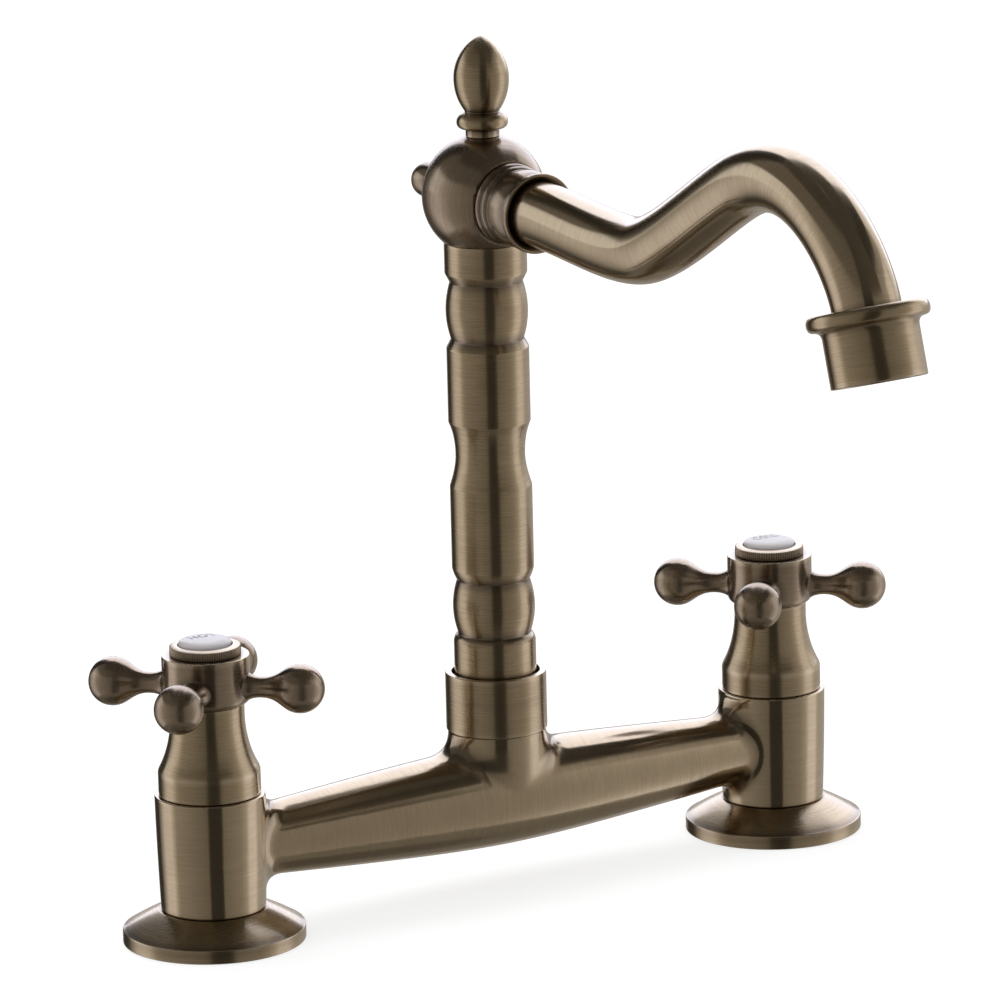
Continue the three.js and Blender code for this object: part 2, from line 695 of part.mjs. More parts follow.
// The ball, with flats for the riser, the finial, the union and the knob, and a hollow inside.
// Its own frame has the ball's middle at the origin and +Z up.
function ballHead() {
  const crown = Math.sqrt(BALL_RADIUS ** 2 - FINIAL_NECK ** 2);
  const outline = new THREE.Path()
    .moveTo(0, -BALL_FACE)
    .lineTo(BALL_FLAT, -BALL_FACE)
    .absarc(0, 0, BALL_RADIUS, -Math.asin(BALL_FACE / BALL_RADIUS), Math.asin(crown / BALL_RADIUS))
    .lineTo(0, crown);
  const hollow = new THREE.SphereGeometry(BALL_CAVITY, 8, 5).rotateX(Math.PI / 2);
  const threadHole = ring(0, THREAD_RADIUS + GAP, 6, BALL_RADIUS + 1, WIDE);
  const studHole = ring(0, STUD_RADIUS + GAP, 6, BALL_RADIUS + 1, 8);
  const front = new THREE.BoxGeometry(40, 40, 20).translate(0, 0, BALL_FACE + 10);
  const back = new THREE.BoxGeometry(20, 20, 20).translate(0, 0, crown + 10);
  const forward = [90 + THREE.MathUtils.radToDeg(DROOP), 0, 0];
  return turned(outline, WIDE, 5)
    .subtract(solid(front).rotate(forward))
    .subtract(solid(back).rotate([-90, 0, 0]))
    .subtract(solid(hollow))
    .subtract(threadHole.rotate([180, 0, 0]))
    .subtract(threadHole.rotate(forward))
    .subtract(studHole)
    .subtract(studHole.rotate([-90, 0, 0]));
}

function finial() {
  const base = BALL_HEIGHT + Math.sqrt(BALL_RADIUS ** 2 - FINIAL_NECK ** 2) + GAP;
  const outline = new THREE.Path()
    .moveTo(0, base - STUD_LENGTH)
    .lineTo(STUD_RADIUS, base - STUD_LENGTH)
    .lineTo(STUD_RADIUS, base)
    .lineTo(FINIAL_NECK, base)
    .lineTo(FINIAL_NECK, 235.6)
    .quadraticCurveTo(8.1, 235.8, 7.75, 238.2)
    .quadraticCurveTo(7.4, 240.3, FINIAL_NECK, 241)
    .quadraticCurveTo(8.4, 245.4, 8.36, 251.2)
    .bezierCurveTo(8.4, 256.2, 4.9, 262.6, 0, FINIAL_TOP);
  return turned(outline, SLIM);
}

// The knob behind the ball, along its own +Z from the ball's middle.
function rearKnob() {
  const seat = Math.sqrt(BALL_RADIUS ** 2 - FINIAL_NECK ** 2) + GAP;
  const outline = new THREE.Path()
    .moveTo(0, seat - STUD_LENGTH)
    .lineTo(STUD_RADIUS, seat - STUD_LENGTH)
    .lineTo(STUD_RADIUS, seat)
    .lineTo(FINIAL_NECK - 0.3, seat)
    .quadraticCurveTo(3.2, 21, 3.2, 25)
    .quadraticCurveTo(KNOB_RADIUS, 26.6, KNOB_RADIUS, 31.4)
    .quadraticCurveTo(KNOB_RADIUS, 36.3, 0, 36.8);
  return turned(outline, SLIM, 3);
}

// ---- Spout: union, seal, tube, outlet and aerator ----

// The union, along its own +Z from the ball's middle: two beads, a rounded band and a lip.
function spoutUnion() {
  const socket = TUBE_RADIUS + TUBE_FIT;
  const bore = TUBE_BORE - 1.3;
  const threadEnd = 9.5;
  const outline = new THREE.Path()
    .moveTo(bore, threadEnd)
    .lineTo(THREAD_RADIUS, threadEnd)
    .lineTo(THREAD_RADIUS, BALL_FACE + GAP)
    .lineTo(12, BALL_FACE + GAP)
    .quadraticCurveTo(13, 15.5, 11.6, 16.8)
    .quadraticCurveTo(12.7, 18.2, 11.2, 19.6)
    .quadraticCurveTo(12.5, 24, 11.3, 28.6)
    .lineTo(12.2, 29.6)
    .lineTo(12.2, UNION_END - 0.3)
    .lineTo(11.9, UNION_END)
    .lineTo(11.4, UNION_END)
    .lineTo(socket, 28.4)
    .lineTo(socket, SEAL_SEAT)
    .lineTo(bore, SEAL_SEAT)
    .closePath();
  return turned(outline, WIDE, 3);
}

function unionSeal() {
  return ring(TUBE_BORE - 0.8, TUBE_RADIUS, SEAL_SEAT + GAP, TUBE_START - GAP, SLIM);
}

// The bent tube: straight inside the union, then three curves, and straight in the outlet.
function spoutTube() {
  const route = new THREE.CurvePath();
  const forward = (distance, height) => new THREE.Vector3(0, -distance, height);
  const drooped = (distance) => forward(distance, BALL_HEIGHT - distance * Math.tan(DROOP));
  let from = drooped(UNION_END);
  route.add(new THREE.LineCurve3(drooped(TUBE_START), from));
  for (const [d1, z1, d2, z2, d3, z3] of SPOUT_PATH) {
    const to = forward(d3, z3);
    route.add(new THREE.CubicBezierCurve3(from, forward(d1, z1), forward(d2, z2), to));
    from = to;
  }
  const end = forward(Math.sin(OUTLET_TILT), -Math.cos(OUTLET_TILT));
  route.add(new THREE.LineCurve3(from, end.multiplyScalar(TUBE_INSERT).add(from)));
  const section = new THREE.Shape().absarc(0, 0, TUBE_RADIUS, 0, 2 * Math.PI);
  section.holes.push(new THREE.Path().absarc(0, 0, TUBE_BORE, 0, 2 * Math.PI));
  const settings = { steps: 21, extrudePath: route, curveSegments: 6 };
  return solid(new THREE.ExtrudeGeometry(section, settings));
}

// The outlet, along its own +Z from where the tube enters it: a round flange, a cove and a
// straight sleeve.
function outletSleeve() {
  const tubeEnd = TUBE_INSERT + GAP;
  const outline = new THREE.Path()
    .moveTo(TUBE_RADIUS + TUBE_FIT, -0.25)
    .lineTo(15.9, -0.25)
    .quadraticCurveTo(OUTLET_FLANGE, -0.1, OUTLET_FLANGE, 2)
    .quadraticCurveTo(OUTLET_FLANGE, 4.1, 15.9, 4.25)
    .quadraticCurveTo(OUTLET_RADIUS, 4.4, OUTLET_RADIUS, 6.6)
    .lineTo(OUTLET_RADIUS, OUTLET_LENGTH - 0.3)
    .lineTo(OUTLET_RADIUS - 0.3, OUTLET_LENGTH)
    .lineTo(AERATOR_RADIUS + GAP, OUTLET_LENGTH)
    .lineTo(AERATOR_RADIUS + GAP, AERATOR_SEAT)
    .lineTo(TUBE_BORE, AERATOR_SEAT)
    .lineTo(TUBE_BORE, tubeEnd)
    .lineTo(TUBE_RADIUS + TUBE_FIT, tubeEnd)
    .closePath();
  return turned(outline, WIDE, 3);
}

const AERATOR_TOP = AERATOR_SEAT + 2.1;

function aeratorSeal() {
  return ring(TUBE_BORE + 0.4, AERATOR_RADIUS, AERATOR_SEAT + GAP, AERATOR_TOP - GAP, SLIM);
}

// A cup whose floor is pierced by a ring of holes and one in the middle.
function aeratorInsert() {
  const floor = 16;
  const wall = 2.5;
  const hole = ring(0, SPRAY_HOLE_RADIUS, floor - 1, AERATOR_BOTTOM + 1, 6);
  let insert = ring(0, AERATOR_RADIUS, AERATOR_TOP, AERATOR_BOTTOM, SLIM)
    .subtract(ring(0, AERATOR_RADIUS - wall, AERATOR_TOP - 1, floor, SLIM))
    .subtract(hole);
  for (let i = 0; i < 6; i++) {
    insert = insert.subtract(hole.translate([SPRAY_RING_RADIUS, 0, 0]).rotate([0, 0, 60 * i]));
  }
  return insert;
}

// ---- Assembly ----

place(faucet, "bridge_body", bridgeBody(), "brass");
place(faucet, "riser_socket", riserSocket(), "brass");

const grub = new THREE.Group();
grub.position.z = GRUB_HEIGHT;
grub.rotation.x = -Math.PI / 2;
place(grub, "riser_grub_screw", grubScrew(), "steel");
faucet.add(grub);

// A valve on its leg. What turns with the handle is in a group of its own.
function addValve(side, x, armAngle) {
  const valve = new THREE.Group();
  valve.position.x = x;
  place(valve, side + "_inlet_bush", inletBush(), "bareBrass");
  place(valve, side + "_deck_flange", deckFlange(), "brass");
  place(valve, side + "_deck_gasket", deckGasket(), "rubber");
  place(valve, side + "_seat_seal", seatSeal(), "rubber");
  place(valve, side + "_cartridge_body", cartridgeBody(), "bareBrass");
  place(valve, side + "_fixed_disc", fixedDisc(), "ceramic");
  place(valve, side + "_bonnet", bonnet(), "brass");

  const turning = new THREE.Group();
  turning.rotation.z = THREE.MathUtils.degToRad(armAngle);
  place(turning, side + "_moving_disc", movingDisc(), "ceramic");
  place(turning, side + "_spindle", spindle(), "bareBrass");
  place(turning, side + "_handle", crossHandle(), "brass");
  place(turning, side + "_handle_screw", handleScrew(), "steel");
  place(turning, side + "_index_ring", indexRing(), "brass");
  place(turning, side + "_index_disc", indexDisc(), "porcelain");
  valve.add(turning);
  faucet.add(valve);
}

addValve("hot", -CENTRES / 2, HOT_ARMS);
addValve("cold", CENTRES / 2, COLD_ARMS);

const spout = new THREE.Group();
place(spout, "riser_column", riserColumn(), "brass");
place(spout, "riser_slip_ring", slipRing(), "plastic");
place(spout, "riser_o_ring_lower", oRing(O_RING_HEIGHTS[0]), "rubber");
place(spout, "riser_o_ring_upper", oRing(O_RING_HEIGHTS[1]), "rubber");
place(spout, "finial", finial(), "brass");
place(spout, "spout_tube", spoutTube(), "brass");

const ball = new THREE.Group();
ball.position.z = BALL_HEIGHT;
place(ball, "ball_head", ballHead(), "brass");

const behind = new THREE.Group();
behind.rotation.x = -Math.PI / 2;
place(behind, "rear_knob", rearKnob(), "brass");

const ahead = new THREE.Group();
ahead.rotation.x = Math.PI / 2 + DROOP;
place(ahead, "spout_union", spoutUnion(), "brass");
place(ahead, "union_seal", unionSeal(), "rubber");
ball.add(behind, ahead);

const outlet = new THREE.Group();
const [, , , , outletForward, outletHeight] = SPOUT_PATH.at(-1);
outlet.position.set(0, -outletForward, outletHeight);
outlet.rotation.x = Math.PI - OUTLET_TILT;
place(outlet, "outlet_sleeve", outletSleeve(), "brass");
place(outlet, "aerator_seal", aeratorSeal(), "rubber");
place(outlet, "aerator_insert", aeratorInsert(), "plastic");
spout.add(ball, outlet);
faucet.add(spout);

export default faucet;
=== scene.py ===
import math

import bmesh
import bpy
import numpy as np
from mathutils import Matrix, Vector
from mathutils.geometry import interpolate_bezier
from mathutils.kdtree import KDTree


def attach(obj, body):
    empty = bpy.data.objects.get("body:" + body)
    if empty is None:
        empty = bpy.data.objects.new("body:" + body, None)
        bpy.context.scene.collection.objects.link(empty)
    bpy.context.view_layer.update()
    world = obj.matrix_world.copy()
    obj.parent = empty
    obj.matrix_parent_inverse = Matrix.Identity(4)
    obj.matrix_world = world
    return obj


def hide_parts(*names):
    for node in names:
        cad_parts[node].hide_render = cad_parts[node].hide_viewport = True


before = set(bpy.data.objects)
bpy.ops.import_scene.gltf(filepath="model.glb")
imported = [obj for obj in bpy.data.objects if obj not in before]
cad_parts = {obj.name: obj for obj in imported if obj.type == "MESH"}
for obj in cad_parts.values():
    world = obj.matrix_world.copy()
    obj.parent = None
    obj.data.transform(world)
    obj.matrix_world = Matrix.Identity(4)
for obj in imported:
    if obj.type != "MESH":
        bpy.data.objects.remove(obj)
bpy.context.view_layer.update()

# ---- Bridge casting ----
# Two legs, the bar between them and the neck for the riser's socket, cast in one piece of brass.
# It is ground smooth, darkened with a brown patina, brushed back to the metal and lacquered.

MM = 0.001
CENTRES = 203.2
LEG_RADIUS = 16.7
LEG_FOOT_RADIUS = 15.8
LEG_BOTTOM = 9.98
LEG_TOP = 45.5
BAR_HEIGHT = 27.8
BAR_RADIUS = 15.6
BAR_TAPER = 0.081
BAR_CROWN = 30
BAR_FILLET_UP = 8  # where the bar meets a leg: along the leg, above the bar
BAR_FILLET_DOWN = 6.3  # and below it
POLISHED_RADIUS = 15.6  # of a leg's top towards the bar, where polishing took the edge off
NECK_RADIUS = 15
NECK_TOP = 49.2
NECK_FILLET = 9
CHAMBER_RADIUS = 10
CHAMBER_FLOOR = 23.2
INLET_HOLE = 11
INLET_TOP = 20
SEAT_HOLE = 5.5
NECK_BORE = 12.7
NECK_LEDGE = 40.7
SOCKET_BORE = 10.3
SOCKET_FLOOR = 35
SIDES = 128
EASE = 0.3  # how far a machined edge is broken
SEAM = 0.08  # between pieces that are screwed together
FACE = 1.5  # length of a turned piece's faces
HOLLOW_REACH = 2.6  # of the patina, from an inner corner
HOLLOW_TURN = 9  # degrees between faces, from which an inner corner keeps patina
WORN_TURN = 10  # degrees between faces, from which an outer edge wears bright and gets a painted glint
FULLY_WORN_TURN = 18
FILLET_DEPTH = 1.4  # of a cast fillet that is full of patina
FILLET_PATINA = 0.8
EASED_EDGE = ((0.05, 0.3), (0.15, 0.08), (0.3, 0))  # radius lost, and distance from the end
LEG_REACH = 23.6  # from a leg's middle: the part of the casting that is cut as the leg
LEG_BRUSHED = 80  # from the middle: the brushing starts to follow the leg,
LEG_BRUSHED_FULLY = 85  # and does wholly
NECK_BRUSHED = 43.5  # height where the brushing starts to follow the neck
NECK_BRUSHED_FULLY = 46.5
NET = 0.8  # size of the casting's faces
NOWHERE = 99  # a distance beyond the casting
UP = Vector((0, 0, 1))


def linear(colour):
    """An sRGB hex colour as the linear RGBA of a shader."""
    parts = [int(colour[i : i + 2], 16) / 255 for i in (1, 3, 5)]
    return [c / 12.92 if c <= 0.04045 else ((c + 0.055) / 1.055) ** 2.4 for c in parts] + [1]


def add(tree, kind, inputs=None, **settings):
    """A new node. An input is a plain value or the output socket that it is linked to."""
    made = tree.nodes.new("ShaderNode" + kind)
    for name, value in settings.items():
        setattr(made, name, value)
    for socket, value in (inputs or {}).items():
        if isinstance(value, bpy.types.NodeSocket):
            tree.links.new(value, made.inputs[socket])
        else:
            made.inputs[socket].default_value = value
    return made


def start_material(name):
    material = bpy.data.materials.new(name)
    material.use_nodes = True
    material.node_tree.nodes.clear()
    return material, material.node_tree


def antique_brass(name, high, low, patina, patina_share, roughness):
    """Lacquered brass under a brown patina, brushed round and round: fine streaks follow the turning,
    the patina stays in the hollows and in soft clouds, painted shade from ambient occlusion darkens it where
    other surfaces are near, and reflections spread across the brushing.
    High and low are the colours of the bright and the dull streaks."""
    streak_pitch = 0.35  # mm; the real brushing is finer than the render shows
    streak_turn = 1.6  # streaks that change in a radian of turn
    cloud_size = 9  # mm
    material, tree = start_material(name)
    turning = add(tree, "Attribute", attribute_name="turning").outputs["Vector"]
    flat = add(tree, "VectorMath", {0: turning, 1: (1, 1, 0)}, operation="MULTIPLY").outputs[0]
    radius = add(tree, "VectorMath", {0: flat}, operation="LENGTH").outputs["Value"]
    way = add(tree, "VectorMath", {0: flat}, operation="NORMALIZE").outputs[0]
    pitch = (0, 0, 1 / streak_pitch)
    along = add(tree, "VectorMath", {0: turning, 1: pitch}, operation="MULTIPLY").outputs[0]
    spread = add(tree, "VectorMath", {0: way, 1: (streak_turn,) * 3, 2: along}, operation="MULTIPLY_ADD")
    inwards = add(tree, "Math", {0: radius, 1: 1 / streak_pitch}, operation="MULTIPLY").outputs[0]
    streaks = add(
        tree,
        "TexNoise",
        {"Vector": spread.outputs[0], "W": inwards, "Scale": 1, "Detail": 3, "Roughness": 0.7},
        noise_dimensions="4D",
    ).outputs["Fac"]
    place = add(tree, "TexCoord").outputs["Object"]
    cloud_scale = {"Vector": place, "Scale": 1 / (cloud_size * MM), "Detail": 3, "Roughness": 0.55}
    clouds = add(tree, "TexNoise", cloud_scale).outputs["Fac"]
    # Painted shade: ambient occlusion pulls the colour towards the patina where other surfaces are near, both
    # in a piece's own hollows and between parts.
    hollow = add(tree, "AmbientOcclusion", {"Distance": 2 * MM}, samples=6).outputs["AO"]
    shine = add(tree, "MapRange", {0: streaks, 1: 0.3, 2: 0.7, 3: 0, 4: 1}).outputs[0]
    metal = add(tree, "Mix", {0: shine, 6: linear(low), 7: linear(high)}, data_type="RGBA").outputs[2]
    share = {0: clouds, 1: 0.35, 2: 0.7, 3: patina_share * 0.5, 4: patina_share * 1.5}
    clouding = add(tree, "MapRange", share).outputs[0]
    clouded = add(tree, "Mix", {0: clouding, 6: metal, 7: linear(patina)}, data_type="RGBA").outputs[2]
    occlusion_shade = add(tree, "MapRange", {0: hollow, 1: 0.4, 2: 0.9, 3: 0.7, 4: 0}).outputs[0]
    with_shade = add(tree, "Mix", {0: occlusion_shade, 6: clouded, 7: linear(patina)}, data_type="RGBA").outputs[2]
    corner = add(tree, "Attribute", attribute_name="hollow").outputs["Fac"]
    corner = add(tree, "Math", {0: corner, 1: 0.75}, operation="MULTIPLY").outputs[0]
    left = add(tree, "Mix", {0: corner, 6: with_shade, 7: linear(CORNER_PATINA)}, data_type="RGBA").outputs[2]
    # Painted highlight: sharp outer edges get a pale colour, which is both rubbed wear and a glint where the
    # eased edge catches light.
    worn = add(tree, "Attribute", attribute_name="wear_and_glint").outputs["Fac"]
    colour = add(tree, "Mix", {0: worn, 6: left, 7: linear(RUBBED_EDGE_AND_GLINT)}, data_type="RGBA").outputs[2]
    uneven = {0: streaks, 1: 0.3, 2: 0.7, 3: roughness + 0.02, 4: roughness - 0.02}
    rough = add(tree, "MapRange", uneven).outputs[0]
    bump = add(tree, "Bump", {"Strength": 0.08, "Distance": 0.02 * MM, "Height": streaks}).outputs[0]
    scratch = add(tree, "Attribute", attribute_name="scratch").outputs["Vector"]
    kind = {"vector_type": "VECTOR", "convert_from": "OBJECT", "convert_to": "WORLD"}
    tangent = add(tree, "VectorTransform", {0: scratch}, **kind).outputs[0]
    inputs = {
        "Base Color": colour,
        "Metallic": 1,
        "Roughness": rough,
        "Anisotropic": 0.8,
        "Anisotropic Rotation": 0.25,
        "Coat Weight": 0.5,
        "Coat Roughness": 0.08,
        "Tangent": tangent,
        "Normal": bump,
    }
    add(tree, "OutputMaterial", {"Surface": add(tree, "BsdfPrincipled", inputs).outputs[0]})
    return material


# Colour of the rubbed edges: wear, and a painted glint of the edge catching light.
RUBBED_EDGE_AND_GLINT = "#d0bfa6"
CORNER_PATINA = "#75685d"
rubbed_brass = antique_brass("antique_brass_rubbed", "#c6b496", "#b09d7f", "#4a3d30", 0.1, 0.28)
polished_brass = antique_brass("antique_brass_polished", "#c7b69b", "#b8a68a", "#4a3d30", 0.08, 0.17)
dark_brass = antique_brass("antique_brass_dark", "#bfad98", "#a5937e", "#3e342b", 0.2, 0.26)


def outline(*steps):
    """Points of a profile, in mm as radius and height. A step has an end, after 0 to 2 control points."""
    points = [Vector(steps[0])]
    for step in steps[1:]:
        *control, end = [Vector(step[i : i + 2]) for i in range(0, len(step), 2)]
        start = points[-1]
        if not control:
            points.append(end)
            continue
        first = control[0] if len(control) == 2 else start.lerp(control[0], 2 / 3)
        second = control[1] if len(control) == 2 else end.lerp(control[0], 2 / 3)
        points += interpolate_bezier(start, first, second, end, 14)[1:]
    return points


def turned(points, closed=False, sides=SIDES, ease=EASE):
    """A profile with its corners eased, spun about Z into a closed skin."""
    bm = bmesh.new()
    wire = [bm.verts.new((p.x * MM, 0, p.y * MM)) for p in points]
    for pair in zip(wire, wire[1:]):
        bm.edges.new(pair)
    if closed:
        bm.edges.new((wire[-1], wire[0]))
    inner = wire if closed else wire[1:-1]
    for corner in [v for v in inner if v.calc_edge_angle() > math.radians(18)]:
        bmesh.ops.bevel(
            bm,
            geom=[corner],
            offset=ease * MM,
            segments=3,
            profile=0.5,
            affect="VERTICES",
            clamp_overlap=True,
            material=-1,
        )
    for edge in [e for e in bm.edges if e.calc_length() > 1.6 * FACE * MM]:
        bmesh.ops.subdivide_edges(bm, edges=[edge], cuts=int(edge.calc_length() / (FACE * MM)))
    geometry = bm.verts[:] + bm.edges[:]
    bmesh.ops.spin(bm, geom=geometry, axis=UP, cent=(0, 0, 0), angle=2 * math.pi, steps=sides, use_merge=True)
    bmesh.ops.remove_doubles(bm, verts=bm.verts, dist=0.001 * MM)
    bmesh.ops.recalc_face_normals(bm, faces=bm.faces)
    return bm


def moved(bm, matrix):
    bmesh.ops.transform(bm, matrix=matrix, verts=bm.verts)
    return bm


def weather(bm, reach, worn):
    """Marks the sharp outer edges, which are rubbed bright and painted with a glint, and what is near inner
    corners, where patina stays.
    """
    wear_and_glint = bm.verts.layers.float.new("wear_and_glint")
    hollow = bm.verts.layers.float.new("hollow")
    corners = []
    for v in bm.verts:
        turns = [math.degrees(e.calc_face_angle_signed(0)) for e in v.link_edges]
        sharp = (max(turns, default=0) - WORN_TURN) / (FULLY_WORN_TURN - WORN_TURN)
        v[wear_and_glint] = min(max(sharp, 0), 1) if worn else 0
        if min(turns, default=0) < -HOLLOW_TURN:
            corners.append(v.co.copy())
    near = KDTree(len(corners))
    for i, place in enumerate(corners):
        near.insert(place, i)
    near.balance()
    for v in bm.verts:
        distance = near.find(v.co)[2] if corners else 1
        v[hollow] = max(0, 1 - distance / (reach * MM))


def piece(name, bm, material, reach=HOLLOW_REACH, worn=True):
    """The finished mesh as an object, smooth, with the broad faces ruling the shading.
    Reach is how far patina spreads from inner corners, in mm, and worn says if edges are rubbed bright with a
    painted glint."""
    weather(bm, reach, worn)
    mesh = bpy.data.meshes.new(name)
    bm.to_mesh(mesh)
    bm.free()
    mesh.shade_smooth()
    mesh.materials.append(material)
    made = bpy.data.objects.new(name, mesh)
    bpy.context.collection.objects.link(made)
    made.modifiers.new("Broad faces rule", "WEIGHTED_NORMAL").keep_sharp = True
    return made


def coordinates(mesh):
    """A mesh's points in mm."""
    flat = np.empty(len(mesh.vertices) * 3, np.float32)
    mesh.vertices.foreach_get("co", flat)
    return flat.reshape(-1, 3).astype(float) / MM


def lay(made, turning, scratch):
    """Stores each point's place in the turning, in mm, and the way that the brush ran there."""
    for name, values in (("turning", turning), ("scratch", scratch)):
        made.data.attributes.new(name, "FLOAT_VECTOR", "POINT").data.foreach_set(
            "vector", values.astype(np.float32).ravel()
        )


def turning_about(points, centre, axis):
    """Places and brush ways of points in mm, turned about an axis."""
    axis = np.array(Vector(axis).normalized())
    side = np.array(Vector(axis).orthogonal().normalized())
    out = points - np.array(centre)
    places = np.stack([out @ side, out @ np.cross(axis, side), out @ axis], 1)
    return places, np.cross(axis, out) + side * 1e-4


def brush_round(made, centre=(0, 0, 0), axis=(0, 0, 1)):
    lay(made, *turning_about(coordinates(made.data), centre, axis))


def bar_radius(x):
    """The bar is rounded in the middle and then straight, as a hyperbola is."""
    return BAR_RADIUS - BAR_TAPER * (np.hypot(x, BAR_CROWN) - BAR_CROWN)


def leg_radius(z):
    """The leg widens a little upwards, in a soft curve."""
    s = np.clip((z - LEG_BOTTOM) / (LEG_TOP - LEG_BOTTOM), 0, 1)
    return (1 - s) ** 2 * LEG_FOOT_RADIUS + 2 * s * (1 - s) * (LEG_FOOT_RADIUS + 0.7) + s**2 * LEG_RADIUS


def blended(a, b, cosine, radius):
    """The distance to two surfaces that run into each other in a fillet of about that radius."""
    reach = radius * (1 - np.minimum(cosine, 1)) + 1e-6
    share = np.clip(1 - np.abs(a - b) / reach, 0, 1)
    return np.minimum(a, b) - share**2 * reach / 4


def casting_distance(points, fillets=True):
    """How far points in mm are from the casting's outside, below zero inside it."""
    x, y, z = points.T
    height = z - BAR_HEIGHT
    round_bar = np.hypot(y, height) + 1e-9
    side = np.abs(x) - CENTRES / 2
    round_leg = np.hypot(side, y) + 1e-9
    round_neck = np.hypot(x, y) + 1e-9
    bar = np.where(side > 0, NOWHERE, round_bar - bar_radius(x))
    leg = round_leg - leg_radius(z)
    neck = np.where(height < 0, NOWHERE, round_neck - NECK_RADIUS)
    if not fillets:
        return np.minimum(np.minimum(bar, leg), neck)
    slope = BAR_TAPER * np.abs(x) / np.hypot(x, BAR_CROWN)
    bar_leg = (slope * side + y * y / round_bar) / round_leg
    bar_neck = (slope * np.abs(x) + y * y / round_bar) / round_neck
    upper = np.clip(height / round_bar, 0, 1)
    by_leg = blended(bar, leg, bar_leg, BAR_FILLET_DOWN + (BAR_FILLET_UP - BAR_FILLET_DOWN) * upper)
    by_neck = blended(bar, neck, bar_neck, NECK_FILLET)
    polished = (round_leg - POLISHED_RADIUS + z - LEG_TOP) / math.sqrt(2) - 2 * (1 + side / round_leg)
    return np.maximum(np.minimum(by_leg, by_neck), np.where(round_leg < 20, polished, -NOWHERE))


def casting_gradient(points, step=0.05):
    slopes = []
    for way in step * np.eye(3):
        rise = casting_distance(points + way) - casting_distance(points - way)
        slopes.append(rise / (2 * step))
    return np.stack(slopes, 1)


def to_casting(points):
    """Moves points onto the casting's outside."""
    for _ in range(4):
        slope = casting_gradient(points)
        reach = casting_distance(points) / np.maximum((slope**2).sum(1), 0.2)
        points = points - slope * reach[:, None]
    return points


def rough_casting():
    """The three forms of the casting run together, longer than they end up, under one fine net of faces."""
    half = CENTRES / 2
    along = Matrix.Rotation(math.pi / 2, 4, "Y")
    steps = np.linspace(-half, half, 61)
    bar = [Vector((0, -half))] + [Vector((bar_radius(x), x)) for x in steps] + [Vector((0, half))]
    solids = [moved(turned(bar), Matrix.Translation(UP * BAR_HEIGHT * MM) @ along)]
    foot = [(0, 5), (LEG_FOOT_RADIUS, 5), (LEG_FOOT_RADIUS, 12)]
    leg = outline(*foot, (LEG_RADIUS, LEG_TOP), (LEG_RADIUS, 50), (0, 50))
    for x in (-half, half):
        solids.append(moved(turned(leg), Matrix.Translation((x * MM, 0, 0))))
    solids.append(turned(outline((0, BAR_HEIGHT), (NECK_RADIUS, BAR_HEIGHT), (NECK_RADIUS, 54), (0, 54))))
    mesh = bpy.data.meshes.new("rough_casting")
    joined = bmesh.new()
    for bm in solids:
        bm.to_mesh(mesh)
        bm.free()
        joined.from_mesh(mesh)
    joined.to_mesh(mesh)
    joined.free()
    rough = bpy.data.objects.new("rough_casting", mesh)
    bpy.context.collection.objects.link(rough)
    net = rough.modifiers.new("Net", "REMESH")
    net.mode = "VOXEL"
    net.voxel_size = NET * MM
    made = bpy.data.meshes.new_from_object(rough.evaluated_get(bpy.context.evaluated_depsgraph_get()))
    bpy.data.objects.remove(rough)
    bpy.data.meshes.remove(mesh)
    return made


def put(mesh, points):
    mesh.vertices.foreach_set("co", (points * MM).astype(np.float32).ravel())
    mesh.update()


def rim(bm, height, keep_below, near):
    """Cuts the casting off level where near() says, and returns the rim that is left."""
    faces = [f for f in bm.faces if near(f.calc_center_median() / MM)]
    edges = {e for f in faces for e in f.edges}
    verts = {v for f in faces for v in f.verts}
    bmesh.ops.bisect_plane(
        bm,
        geom=[*verts, *edges, *faces],
        plane_co=(0, 0, height * MM),
        plane_no=(0, 0, 1 if keep_below else -1),
        clear_outer=True,
    )
    at_rim = lambda v: abs(v.co.z / MM - height) < 0.01 and near(v.co / MM)
    return [e for e in bm.edges if e.is_boundary and at_rim(e.verts[0])]


def carry(bm, edges, x, profile, inwards=False):
    """Draws a round rim on through rings of a radius and a height, and returns the last one.
    Inwards, each number is taken off the rim's own radius."""
    for radius, height in profile:
        made = bmesh.ops.extrude_edge_only(bm, edges=edges)["geom"]
        verts = {v for v in made if isinstance(v, bmesh.types.BMVert)}
        edges = [e for e in made if isinstance(e, bmesh.types.BMEdge) and set(e.verts) <= verts]
        for v in verts:
            out = Vector((v.co.x - x * MM, v.co.y, 0))
            reach = out.length / MM - radius if inwards else radius
            v.co = out.normalized() * reach * MM + Vector((x * MM, 0, height * MM))
    return edges


